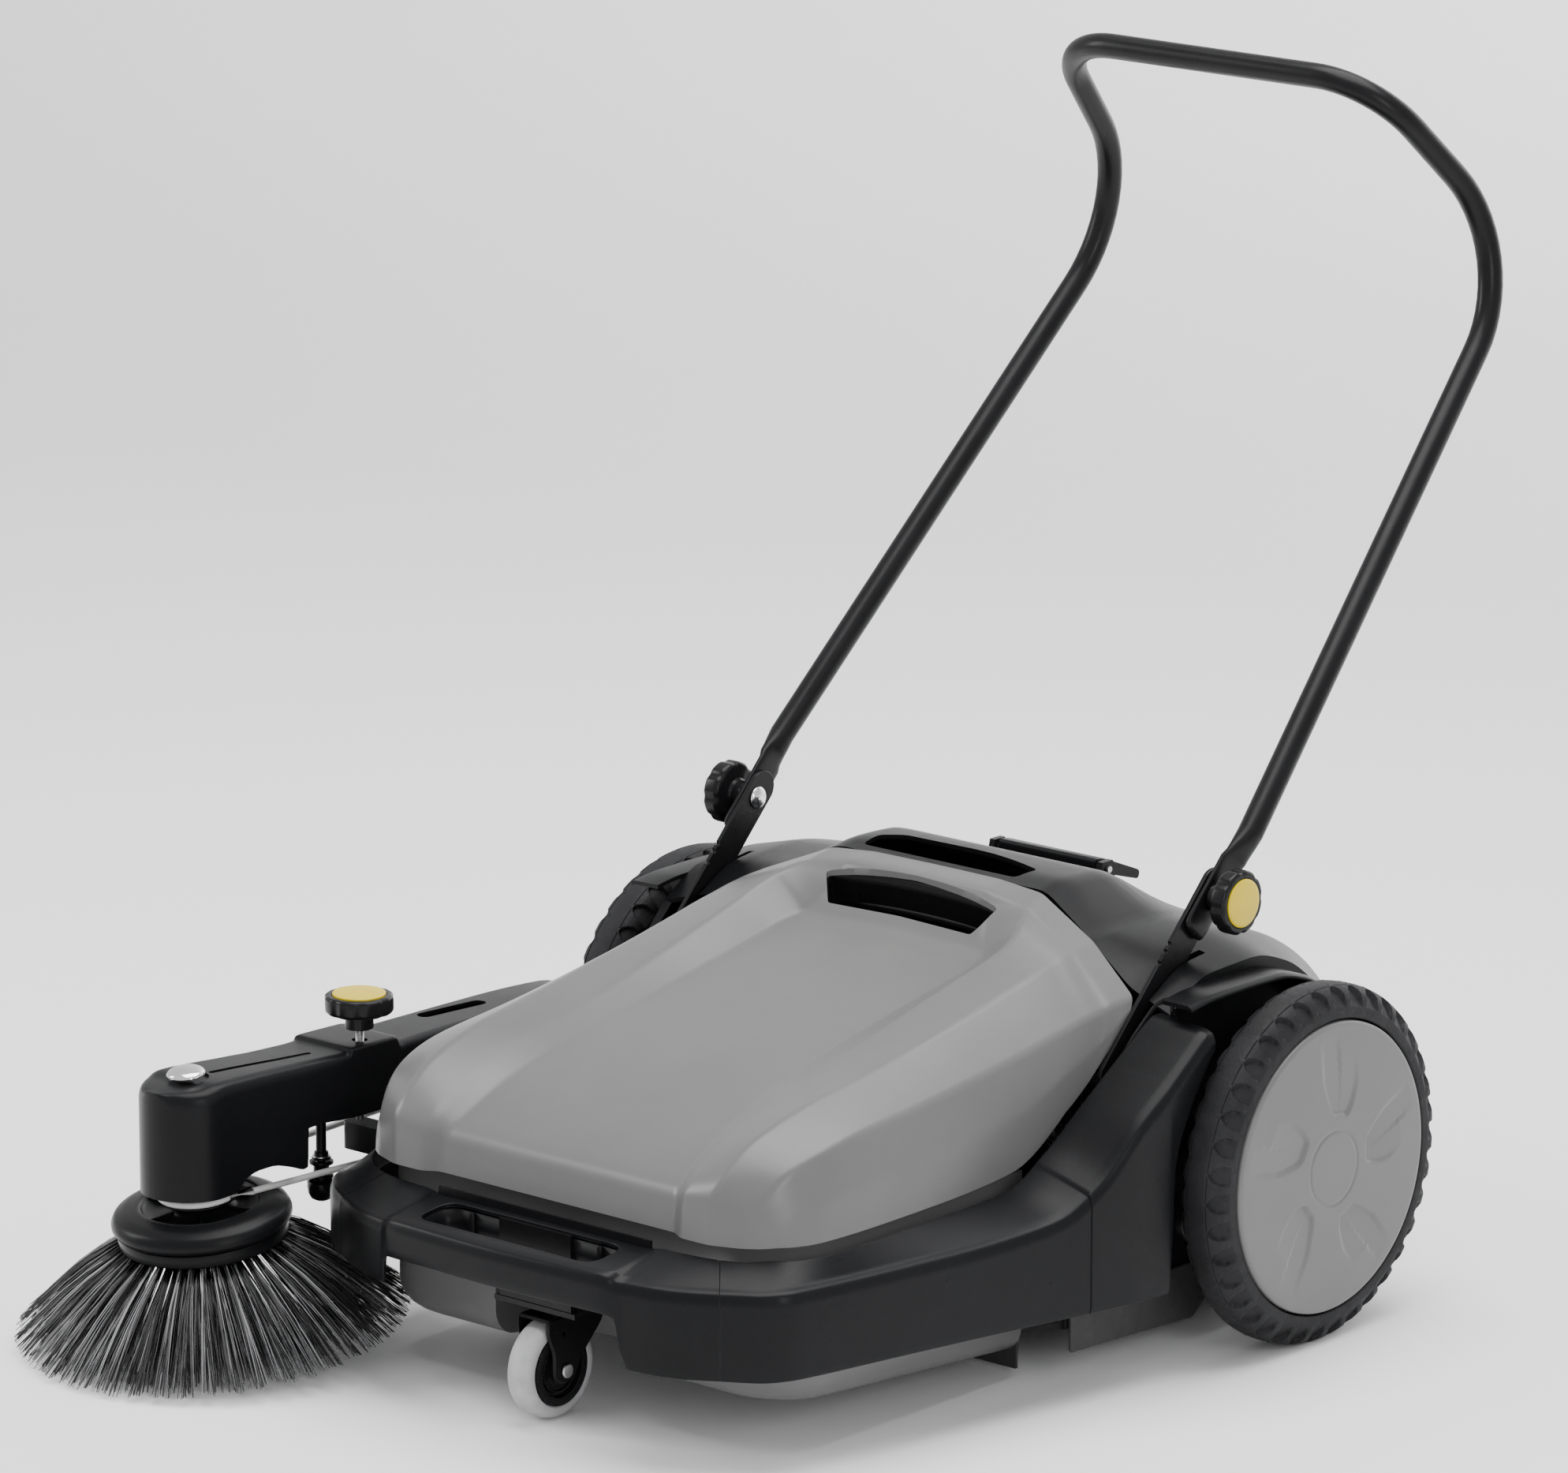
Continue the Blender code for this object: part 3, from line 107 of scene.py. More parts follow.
def spread(tree, value, low, high, start=0.3, end=0.7):
    """Map a texture's middle range to a range of numbers."""
    node = tree.nodes.new("ShaderNodeMapRange")
    node.inputs["From Min"].default_value = start
    node.inputs["From Max"].default_value = end
    node.inputs["To Min"].default_value = low
    node.inputs["To Max"].default_value = high
    tree.links.new(value, node.inputs["Value"])
    return node.outputs["Result"]


def tint(tree, factor, dark, light):
    ramp = tree.nodes.new("ShaderNodeValToRGB")
    ramp.color_ramp.elements[0].color = (*dark, 1.0)
    ramp.color_ramp.elements[1].color = (*light, 1.0)
    tree.links.new(factor, ramp.inputs["Fac"])
    return ramp.outputs["Color"]


def add_bump(tree, shader, height, distance, strength=1.0):
    bump = tree.nodes.new("ShaderNodeBump")
    bump.inputs["Distance"].default_value = distance
    bump.inputs["Strength"].default_value = strength
    tree.links.new(height, bump.inputs["Height"])
    if shader.inputs["Normal"].links:
        tree.links.new(shader.inputs["Normal"].links[0].from_socket, bump.inputs["Normal"])
    tree.links.new(bump.outputs["Normal"], shader.inputs["Normal"])


def new_material(name):
    """A fresh material with its node tree and shader."""
    made = bpy.data.materials.new(name)
    made.use_nodes = True
    tree = made.node_tree
    return made, tree, tree.nodes["Principled BSDF"]


def surface(name, dark, light, rough, metallic=0.0, mottle=6.0, grain=None, stretch=(1, 1, 1),
            specular=0.5):
    """A moulded, painted or plated surface: colour drift, uneven gloss and a fine grain."""
    made, tree, shader = new_material(name)
    shader.inputs["Metallic"].default_value = metallic
    shader.inputs["Specular IOR Level"].default_value = specular
    drift = texture(tree, "ShaderNodeTexNoise", mottle, stretch, Detail=5.0, Roughness=0.6)
    factor = spread(tree, drift.outputs["Fac"], 0.0, 1.0)
    tree.links.new(tint(tree, factor, dark, light), shader.inputs["Base Color"])
    wear = texture(tree, "ShaderNodeTexNoise", mottle * 7.0, stretch, Detail=6.0, Roughness=0.7)
    tree.links.new(spread(tree, wear.outputs["Fac"], *rough), shader.inputs["Roughness"])
    if grain:
        scale, distance = grain
        fine = texture(tree, "ShaderNodeTexNoise", scale, stretch, Detail=2.0, Roughness=0.5)
        add_bump(tree, shader, fine.outputs["Fac"], distance)
    return made


def bristle_material(name, dark, light, shine):
    """Plastic filaments, each with its own shade."""
    made, tree, shader = new_material(name)
    geometry = tree.nodes.new("ShaderNodeNewGeometry")
    ramp = tree.nodes.new("ShaderNodeValToRGB")
    ramp.color_ramp.elements[0].position = 0.62
    ramp.color_ramp.elements[0].color = (*dark, 1.0)
    ramp.color_ramp.elements[1].position = 1.0
    ramp.color_ramp.elements[1].color = (*light, 1.0)
    tree.links.new(geometry.outputs["Random Per Island"], ramp.inputs["Fac"])
    tree.links.new(ramp.outputs["Color"], shader.inputs["Base Color"])
    streak = texture(tree, "ShaderNodeTexNoise", 60.0, Detail=3.0)
    tree.links.new(spread(tree, streak.outputs["Fac"], *shine), shader.inputs["Roughness"])
    add_bump(tree, shader, streak.outputs["Fac"], 0.0002)
    return made


def tyre_material():
    made = surface("tyre_rubber", (0.009, 0.009, 0.010), (0.022, 0.022, 0.024), (0.46, 0.66), mottle=18.0,
                   grain=(420.0, 0.0003), specular=0.14)
    tree = made.node_tree
    shader = tree.nodes["Principled BSDF"]
    specks = texture(tree, "ShaderNodeTexVoronoi", 260.0)
    add_bump(tree, shader, spread(tree, specks.outputs["Distance"], 0.0, 1.0, 0.0, 0.25), 0.00025)
    return made


def knurled_metal(name, dark, light, rough):
    """Plated steel with a fine grain."""
    return surface(name, dark, light, rough, metallic=1.0, mottle=25.0, grain=(900.0, 0.00004))


MATERIALS = {
    "black_plastic": surface("black_plastic", (0.0045, 0.0046, 0.0052), (0.0075, 0.0077, 0.0088),
                             (0.27, 0.33), grain=(1500.0, 0.00010), mottle=4.0, specular=0.12),
    "black_smooth": surface("black_smooth", (0.0050, 0.0050, 0.0055), (0.0085, 0.0085, 0.0095), (0.20, 0.30),
                            grain=(900.0, 0.00005), mottle=5.0, specular=0.16),
    "grey_plastic": surface("grey_plastic", (0.112, 0.112, 0.112), (0.126, 0.126, 0.125), (0.28, 0.33),
                            grain=(1100.0, 0.00008), mottle=7.0, specular=0.40),
    "tyre_rubber": tyre_material(),
    "seal_rubber": surface("seal_rubber", (0.010, 0.010, 0.010), (0.024, 0.024, 0.024), (0.50, 0.70),
                           grain=(700.0, 0.0002)),
    "bright_steel": knurled_metal("bright_steel", (0.42, 0.42, 0.41), (0.60, 0.60, 0.60), (0.25, 0.40)),
    "chrome_steel": surface("chrome_steel", (0.70, 0.70, 0.71), (0.82, 0.82, 0.83), (0.06, 0.14),
                            metallic=1.0, mottle=60.0, grain=(300.0, 0.00003)),
    "yellow_plastic": surface("yellow_plastic", (0.58, 0.42, 0.0008), (0.66, 0.49, 0.0015), (0.30, 0.42),
                              grain=(900.0, 0.00006), mottle=30.0),
    "black_paint": surface("black_paint", (0.0040, 0.0040, 0.0045), (0.0068, 0.0068, 0.0078), (0.26, 0.36),
                           grain=(650.0, 0.00008), mottle=9.0, specular=0.18),
    "bristle": bristle_material("bristle", (0.0040, 0.0040, 0.0045), (0.34, 0.34, 0.35), (0.20, 0.38)),
    "white_belt": surface("white_belt", (0.55, 0.55, 0.54), (0.78, 0.78, 0.77), (0.35, 0.50),
                          grain=(500.0, 0.00008), mottle=22.0),
    "caster_tread": surface("caster_tread", (0.34, 0.34, 0.35), (0.48, 0.48, 0.49), (0.45, 0.62),
                            grain=(420.0, 0.00018), mottle=45.0),
}


# ---------------------------------------------------------------- mesh helpers

def lofted(rings, wrap_rings=False, wrap_points=True, caps=True):
    """Join rings of points into one surface."""
    bm = bmesh.new()
    rows = [[bm.verts.new(point) for point in ring] for ring in rings]
    pairs = list(zip(rows, rows[1:]))
    if wrap_rings:
        pairs.append((rows[-1], rows[0]))
    for here, there in pairs:
        count = len(here)
        for index in range(count if wrap_points else count - 1):
            after = (index + 1) % count
            bm.faces.new((here[index], here[after], there[after], there[index]))
    if caps and not wrap_rings:
        bm.faces.new(rows[0])
        bm.faces.new(rows[-1])
    return bm


def rounded(points, reach, steps=3, closed=True):
    """Replace each corner of a line by a soft curve; the number of points depends on steps only."""
    line = [Vector(point) for point in points]
    count = len(line)
    result = []
    for index, corner in enumerate(line):
        if not closed and index in (0, count - 1):
            result.append(corner)
            continue
        before = line[index - 1] - corner
        after = line[(index + 1) % count] - corner
        limit = min(reach, 0.45 * before.length, 0.45 * after.length)
        start = corner + before.normalized() * limit if before.length > 0 else corner
        end = corner + after.normalized() * limit if after.length > 0 else corner
        for step in range(steps + 1):
            part = step / steps
            result.append(start * (1 - part) ** 2 + corner * (2 * part * (1 - part)) + end * part ** 2)
    return result


def smoothed(rows, steps):
    """Rows of numbers or points with soft in-between rows that never overshoot."""
    flat = [[value for item in row for value in (item if hasattr(item, "__len__") else (item,))]
            for row in rows]
    width = len(flat[0])
    count = len(flat)
    slopes = []
    for index in range(count):
        row = []
        for place in range(width):
            before = flat[index][place] - flat[index - 1][place] if index else None
            after = flat[index + 1][place] - flat[index][place] if index < count - 1 else None
            if before is None or after is None:
                row.append(before if after is None else after)
            elif before * after <= 0.0:
                row.append(0.0)
            else:
                row.append(2.0 * before * after / (before + after))
        slopes.append(row)
    result = []
    for index in range(count - 1):
        for step in range(steps):
            t = step / steps
            a = 2 * t ** 3 - 3 * t ** 2 + 1
            b = t ** 3 - 2 * t ** 2 + t
            c = -2 * t ** 3 + 3 * t ** 2
            d = t ** 3 - t ** 2
            result.append([a * flat[index][k] + b * slopes[index][k] + c * flat[index + 1][k]
                           + d * slopes[index + 1][k] for k in range(width)])
    result.append(flat[-1])
    return result


def as_points(row):
    return [Vector(row[index:index + 3]) for index in range(0, len(row), 3)]


def turned(axis, centre, profile, segments, closed=False):
    """Turned piece; the profile lists (radius, along) or (radius, along, shape)."""
    first, second = {"X": ((0, 1, 0), (0, 0, 1)), "Z": ((1, 0, 0), (0, 1, 0))}[axis]
    forward = Vector(first).cross(Vector(second))
    rings = []
    for item in profile:
        ring = []
        for step in range(segments):
            angle = 2.0 * math.pi * step / segments
            radius = max(item[0], 0.00005) * (item[2](angle) if len(item) > 2 else 1.0)
            across = Vector(first) * math.cos(angle) + Vector(second) * math.sin(angle)
            ring.append(Vector(centre) + forward * item[1] + across * radius)
        rings.append(ring)
    return lofted(rings, wrap_rings=closed)


def soft_profile(points, reach, steps=3, closed=False):
    """A turned piece's profile of (radius, along) with soft corners."""
    return [(p.x, p.y) for p in rounded([(r, x, 0.0) for r, x in points], reach, steps, closed)]


def prism(outline, axis, low, high, reach=0.0, chamfer=0.0):
    """Extrude an outline along axis, with soft corners and a small chamfer round both faces."""
    line = [Vector((a, b, 0.0)) for a, b in outline]
    if reach:
        line = rounded(line, reach, 4)
    middle = sum(line, Vector()) / len(line)
    rings = []
    for level, shrink in ((low, chamfer), (low + chamfer, 0.0), (high - chamfer, 0.0), (high, chamfer)):
        if not chamfer and len(rings) in (1, 2):
            rings.append(None)
            continue
        ring = []
        for point in line:
            inward = middle - point
            moved = point + inward.normalized() * min(shrink, inward.length * 0.5)
            ring.append((level, moved.x, moved.y) if axis == "X" else (moved.x, moved.y, level))
        rings.append(ring)
    return lofted([ring for ring in rings if ring])


def block(low, high):
    outline = ((low[0], low[1]), (high[0], low[1]), (high[0], high[1]), (low[0], high[1]))
    return prism(outline, "Z", low[2], high[2])


def swept(points, sizes, sides, first=(0.0, 0.0, 1.0), closed=False, power=1.0):
    """Sweep an oval along a path; sizes lists its two half sizes; power squares the oval's corners."""
    count = len(points)
    across = Vector(first)
    rings = []
    for index, point in enumerate(points):
        before = points[index - 1] if closed or index else points[0]
        after = points[(index + 1) % count] if closed or index < count - 1 else points[-1]
        along = (Vector(after) - Vector(before)).normalized()
        across = (across - along * along.dot(across)).normalized()
        second = along.cross(across)
        wide, deep = sizes[index] if isinstance(sizes, list) else sizes
        shape = power[index] if isinstance(power, list) else power
        ring = []
        for step in range(sides):
            angle = 2.0 * math.pi * step / sides
            c, s = math.cos(angle), math.sin(angle)
            ring.append(Vector(point) + across * (wide * math.copysign(abs(c) ** shape, c))
                        + second * (deep * math.copysign(abs(s) ** shape, s)))
        rings.append(ring)
    return lofted(rings, wrap_rings=closed)


def arc_path(corners, radii, steps):
    """A path of straight runs joined by arcs of the given radii."""
    path = [Vector(corners[0])]
    for index in range(1, len(corners) - 1):
        corner = Vector(corners[index])
        back = (Vector(corners[index - 1]) - corner).normalized()
        ahead = (Vector(corners[index + 1]) - corner).normalized()
        half = back.angle(ahead) / 2.0
        radius = radii[index - 1]
        middle = corner + (back + ahead).normalized() * (radius / math.sin(half))
        start = corner + back * (radius / math.tan(half)) - middle
        end = corner + ahead * (radius / math.tan(half)) - middle
        sweep = start.angle(end)
        for step in range(steps + 1):
            part = step / steps
            path.append(middle + (start * math.sin((1 - part) * sweep) + end * math.sin(part * sweep))
                        / math.sin(sweep))
    path.append(Vector(corners[-1]))
    return path


def denser(path, length):
    """The same path with no run longer than length."""
    result = [path[0]]
    for point in path[1:]:
        start = result[-1]
        parts = max(1, math.ceil((point - start).length / length))
        result += [start.lerp(point, (step + 1) / parts) for step in range(parts)]
    return result


def linked(name, data):
    """A new object of the scene."""
    made = bpy.data.objects.new(name, data)
    bpy.context.collection.objects.link(made)
    return made


def make_object(name, bm, smooth=0.7):
    bmesh.ops.recalc_face_normals(bm, faces=bm.faces)
    bm.transform(Matrix.Translation(LAYOUT))
    mesh = bpy.data.meshes.new(name)
    bm.to_mesh(mesh)
    bm.free()
    mesh.shade_smooth()
    mesh.set_sharp_from_angle(angle=smooth)
    return linked(name, mesh)


def dress(made, look, body, nodes=()):
    """Give a finished object its material and its body, and hide the solids that it stands for."""
    made.data.materials.clear()
    made.data.materials.append(MATERIALS[look])
    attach(made, body)
    if nodes:
        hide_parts(*nodes)
    return made


def piece(name, bm, look, body, nodes=(), smooth=0.7):
    return dress(make_object(name, bm, smooth), look, body, nodes)


def apply_modifiers(made):
    """Fix an object's modifiers into its mesh."""
    graph = bpy.context.evaluated_depsgraph_get()
    mesh = bpy.data.meshes.new_from_object(made.evaluated_get(graph))
    made.modifiers.clear()
    old = made.data
    made.data = mesh
    mesh.name = made.name
    bpy.data.meshes.remove(old)


def shell(made, thickness, even=True):
    """Give a surface a wall, inwards from it."""
    step = made.modifiers.new("shell", "SOLIDIFY")
    step.thickness = thickness
    step.offset = -1.0
    step.use_even_offset = even
    apply_modifiers(made)


def bevel(made, width, segments=2, angle=0.7):
    step = made.modifiers.new("bevel", "BEVEL")
    step.width = width
    step.segments = segments
    step.limit_method = "ANGLE"
    step.angle_limit = angle
    apply_modifiers(made)


def cut(made, *tools, operation="DIFFERENCE"):
    """Cut shapes out of an object, for good."""
    helpers = []
    for index, bm in enumerate(tools):
        helper = make_object("tool_" + str(index), bm)
        step = made.modifiers.new("cut", "BOOLEAN")
        step.operation = operation
        step.object = helper
        helpers.append(helper)
    apply_modifiers(made)
    for helper in helpers:
        bpy.data.objects.remove(helper, do_unlink=True)
    made.data.shade_smooth()
    made.data.set_sharp_from_angle(angle=0.6)


def mirrored(point, side):
    return (point[0] * side, point[1], point[2])


# ---------------------------------------------------------------- frame panels

LEDGE_WALL = 0.004
BUMPER_HALF = (
    # outer x, y, bottom, top, then inner x, y, z of the ledge's edge
    (0.000, -0.6568, 0.132, 0.1665, 0.000, -0.584, 0.172),
    (0.060, -0.6548, 0.132, 0.1665, 0.060, -0.584, 0.172),
    (0.112, -0.6505, 0.131, 0.1660, 0.110, -0.584, 0.172),
    (0.122, -0.6480, 0.130, 0.1650, 0.119, -0.584, 0.1725),
    (0.128, -0.6440, 0.126, 0.1610, 0.127, -0.584, 0.1740),
    (0.134, -0.6405, 0.092, 0.1602, 0.134, -0.584, 0.1750),
    (0.140, -0.6390, 0.084, 0.1600, 0.140, -0.584, 0.1750),
    (0.160, -0.6340, 0.083, 0.1595, 0.152, -0.583, 0.175),
    (0.186, -0.6230, 0.082, 0.159, 0.168, -0.581, 0.175),
    (0.2131, -0.6075, 0.082, 0.159, 0.187, -0.577, 0.175),
)
SIDE_LEFT = (
    (0.2132, -0.6074, 0.082, 0.159, 0.1871, -0.5769, 0.175),
    (0.243, -0.588, 0.082, 0.159, 0.205, -0.570, 0.175),
    (0.258, -0.571, 0.083, 0.160, 0.222, -0.555, 0.176),
    (0.266, -0.545, 0.083, 0.160, 0.240, -0.535, 0.176),
    (0.276, -0.500, 0.083, 0.160, 0.251, -0.496, 0.177),
    (0.296, -0.400, 0.082, 0.161, 0.2535, -0.398, 0.178),
    (0.315, -0.300, 0.080, 0.168, 0.2545, -0.298, 0.180),
    (0.325, -0.250, 0.079, 0.192, 0.2590, -0.248, 0.205),
    (0.332, -0.205, 0.078, 0.235, 0.2610, -0.203, 0.236),
    (0.335, -0.1720, 0.078, 0.2588, 0.2635, -0.1710, 0.2595),
    (0.335, -0.1690, 0.110, 0.2609, 0.2637, -0.1680, 0.2617),
    (0.335, -0.1655, 0.180, 0.2634, 0.2640, -0.1640, 0.2645),
    (0.335, -0.1420, 0.237, 0.2800, 0.2665, -0.1410, 0.2820),
    (0.335, -0.1195, 0.2690, 0.2950, 0.2700, -0.1180, 0.2985),
    (0.335, -0.1130, 0.2770, 0.2955, 0.2710, -0.1080, 0.2995),
)
SIDE_RIGHT = (
    (0.2132, -0.6074, 0.103, 0.159, 0.1871, -0.5769, 0.175),
    (0.243, -0.587, 0.099, 0.159, 0.205, -0.570, 0.175),
    (0.262, -0.562, 0.103, 0.160, 0.230, -0.548, 0.176),
    (0.272, -0.500, 0.090, 0.160, 0.2505, -0.496, 0.177),
    (0.277, -0.400, 0.082, 0.160, 0.2530, -0.398, 0.178),
    (0.279, -0.300, 0.080, 0.162, 0.2535, -0.298, 0.180),
    (0.279, -0.257, 0.079, 0.178, 0.2535, -0.256, 0.196),
)


def wall_section(station, lip):
    """Closed section of a thin wall whose top turns in as a ledge and ends in a lip."""
    x, y, low, high, inner_x, inner_y, inner_z = station
    inward = Vector((inner_x - x, inner_y - y, 0.0)).normalized()
    edge = Vector((x, y, 0.0))
    rim = Vector((inner_x, inner_y, 0.0))
    up = Vector((0.0, 0.0, 1.0))
    return [
        edge + inward * 0.0012 + up * low,
        edge + up * (low + 0.006),
        edge + up * (high - 0.011),
        edge + inward * 0.0028 + up * (high - 0.0028),
        edge + inward * 0.011 + up * high,
        rim + up * inner_z,
        rim + up * (inner_z - lip),
        rim - inward * LEDGE_WALL + up * (inner_z - lip),
        rim - inward * LEDGE_WALL + up * (inner_z - LEDGE_WALL),
        edge + inward * 0.013 + up * (high - LEDGE_WALL),
        edge + inward * LEDGE_WALL + up * (high - 0.013),
        edge + inward * LEDGE_WALL + up * low,
    ]


def walled(stations, side=1.0, steps=6, lip=0.022, seam_y=None):
    rows = smoothed([list(station) for station in stations], steps)
    if seam_y is not None:
        rows = with_seam(rows, seam_y)
    rings = []
    for row in rows:
        ring = rounded(wall_section(row, lip), 0.0028, 3)
        rings.append([mirrored(point, side) for point in ring])
    return lofted(rings)


def with_seam(rows, seam_y):
    """Press a narrow groove into the outer wall where two panels meet."""
    result = []
    for here, there in zip(rows, rows[1:]):
        result.append(here)
        if here[1] < seam_y <= there[1]:
            for offset, depth in ((-0.0011, 0.0), (-0.0005, 0.0012), (0.0005, 0.0012), (0.0011, 0.0)):
                part = (seam_y + offset - here[1]) / (there[1] - here[1])
                row = [a + (b - a) * part for a, b in zip(here, there)]
                row[0] -= depth
                row[3] -= depth * 0.6
                result.append(row)
    result.append(rows[-1])
    return result


def round_cutter(axis, centre, radius, low, high, segments):
    """Plain round tool for a bore from low to high."""
    return turned(axis, centre, ((0, low), (radius, low), (radius, high), (0, high)), segments)


def rounded_block(low, high, reach, steps=4):
    outline = ((low[0], low[1]), (high[0], low[1]), (high[0], high[1]), (low[0], high[1]))
    line = rounded([(a, b, 0.0) for a, b in outline], reach, steps)
    return lofted([[(p.x, p.y, level) for p in line] for level in (low[2], high[2])])


def make_bumper():
    stations = [(-s[0], s[1], max(s[2], 0.103), s[3], -s[4], s[5], s[6]) for s in BUMPER_HALF[:0:-1]]
    bumper = make_object("bumper_shell", walled(stations + list(BUMPER_HALF), lip=0.022), 0.6)
    cut(bumper, rounded_block((-0.098, -0.637, 0.12), (0.098, -0.5935, 0.20), 0.016, 6))
    bevel(bumper, 0.0020, 3, 0.9)
    dress(bumper, "black_plastic", "chassis", ["front_bumper"])
    # floor and back wall of the grip, with two small posts against the wall
    well = rounded([(-0.1005, -0.6395, 0.0), (0.1005, -0.6395, 0.0), (0.1005, -0.5910, 0.0),
                    (-0.1005, -0.5910, 0.0)], 0.018, 6)
    rings = [[(p.x, p.y, level) for p in well] for level in (0.1660, 0.1500, 0.1340)]
    tray = make_object("grip_well", lofted(rings, caps=False), 0.6)
    shell(tray, 0.0022)
    dress(tray, "black_plastic", "chassis")
    back = prism(((-0.119, -0.5860), (0.119, -0.5860), (0.119, -0.5838), (-0.119, -0.5838)), "Z",
                 0.140, 0.1785, chamfer=0.0006)
    piece("grip_back_step", back, "black_plastic", "chassis")
    for index, x in enumerate((-0.0715, 0.0715)):
        post = turned("Z", (x, -0.5955, 0), [(0.0001, 0.134), (0.0026, 0.134), (0.0026, 0.1655),
                                             (0.0018, 0.1668), (0.0001, 0.1670)], 16)
        piece("grip_post_" + str(index), post, "black_plastic", "chassis")


def make_side_panels():
    left = make_object("left_panel_shell", walled(SIDE_LEFT, 1.0, lip=0.030, seam_y=-0.262), 0.6)
    dress(left, "black_plastic", "chassis", ["side_panel_left"])
    make_strap_pocket()
    right = make_object("right_panel_shell", walled(SIDE_RIGHT, -1.0, lip=0.022), 0.6)
    x, y = SPINDLE.x, SPINDLE.y
    boss = rounded_block((x - 0.012, y - 0.011, 0.152), (-0.2700, y + 0.011, 0.1760), 0.006)
    cut(right, boss, operation="UNION")
    dress(right, "black_plastic", "chassis", ["side_panel_right"])


def make_strap_pocket():
    """Raised pocket round the strap's foot at the head of the left rear post."""
    along = Vector((0.0, 0.735, 0.678))
    start = Vector((0.2545, -0.1655, 0.2370)) + Vector((0.0085, 0, 0)) - along * 0.004
    line = [start, (0.2625, -0.1690, 0.2460), (0.2640, -0.1350, 0.2800), (0.2660, -0.1085, 0.3025),
            (0.2720, -0.1000, 0.3080), (0.2790, -0.1010, 0.3060), (0.2850, -0.1085, 0.3000)]
    path = rounded(line, 0.008, 5, closed=False)
    piece("strap_pocket_rim", swept(path, (0.0022, 0.0034), 12, first=(1, 0, 0)), "black_smooth", "chassis")


SHOULDER_X = 0.235


def with_shoulder(row, y, z):
    """The same row with its two shoulder points moved."""
    return [(point[0], y, z) if abs(point[0]) == SHOULDER_X else point for point in row]


def housing_row(rear_y, rear_z, middle, cheek):
    half = [(0.0, middle[0], middle[1]), (0.040, middle[0], middle[1]), (0.118, middle[0], middle[1]),
            (0.175, rear_y, rear_z), (SHOULDER_X, rear_y, rear_z - 0.004), (WALL_OUTSIDE_X, cheek[0], cheek[1])]
    return [mirrored(point, -1.0) for point in reversed(half[1:])] + half


def make_rear_housing():
    rows = [
        housing_row(0.150, 0.059, (0.150, 0.055), (0.150, 0.055)),
        housing_row(0.171, 0.124, (0.171, 0.120), (0.171, 0.120)),
        housing_row(0.176, 0.194, (0.176, 0.190), (0.174, 0.190)),
        housing_row(0.164, 0.259, (0.164, 0.262), (0.134, 0.245)),
        housing_row(0.122, 0.304, (0.122, 0.308), (0.090, 0.285)),
        housing_row(0.066, 0.331, (0.066, 0.338), (0.048, 0.314)),
        housing_row(0.004, 0.343, (0.002, 0.373), (0.000, 0.327)),
        housing_row(-0.050, 0.343, (-0.040, 0.375), (-0.060, 0.325)),
        housing_row(-0.0860, 0.343, (-0.0740, 0.371), (-0.1120, 0.300)),
    ]
    # the front edge follows the hopper's rear corners
    rows[-1] = with_shoulder(rows[-1], -0.1030, 0.3125)
    rows[-2] = with_shoulder(rows[-2], -0.0560, 0.3330)
    soft = [rounded(row, 0.010, 3, closed=False) for row in rows]
    rings = [as_points(row) for row in smoothed(soft, 5)]
    bm = bmesh.new()
    grid = [[bm.verts.new(point) for point in ring] for ring in rings]
    for here, there in zip(grid, grid[1:]):
        for a, b, c, d in zip(here, here[1:], there[1:], there):
            bm.faces.new((a, b, c, d))
    for edge, side in ((0, -1.0), (-1, 1.0)):
        front = ((-0.198, 0.212), (-0.250, 0.165), (-0.250, 0.055))
        ring = [row[edge] for row in grid]
        ring += [bm.verts.new((side * WALL_OUTSIDE_X, y, z)) for y, z in front]
        bm.faces.new(ring)
    housing = make_object("housing_shell", bm, 0.5)
    shell(housing, 0.004)
    slot = [(-0.098, -0.062, 0.0), (0.074, -0.062, 0.0), (0.078, -0.036, 0.0)]
    slot += [(0.078 - 0.022 * step, -0.036 + 0.021 * math.sin(math.pi / 2 * step / 4), 0.0)
             for step in range(1, 5)]
    slot = rounded(slot + [(-0.086, -0.018, 0.0), (-0.102, -0.034, 0.0)], 0.006, 4)
    tools = [lofted([[(p.x, p.y, level) for p in slot] for level in (0.33, 0.40)])]
    for side in (-1.0, 1.0):
        low, high = sorted((side * (STRAP_X[0] - 0.0015), side * (STRAP_X[1] + 0.0015)))
        tools.append(block((low, -0.16, 0.20), (high, -0.030, 0.40)))
        tools.append(round_cutter("X", (0, ROLLER.y, ROLLER.z), 0.016, side * 0.26, side * 0.30, 32))
    cut(housing, *tools)
    bevel(housing, 0.0010, 2, 1.0)
    dress(housing, "black_plastic", "chassis", ["rear_housing"])
    for name, side in (("left", 1.0), ("right", -1.0)):
        make_arch(name, side)


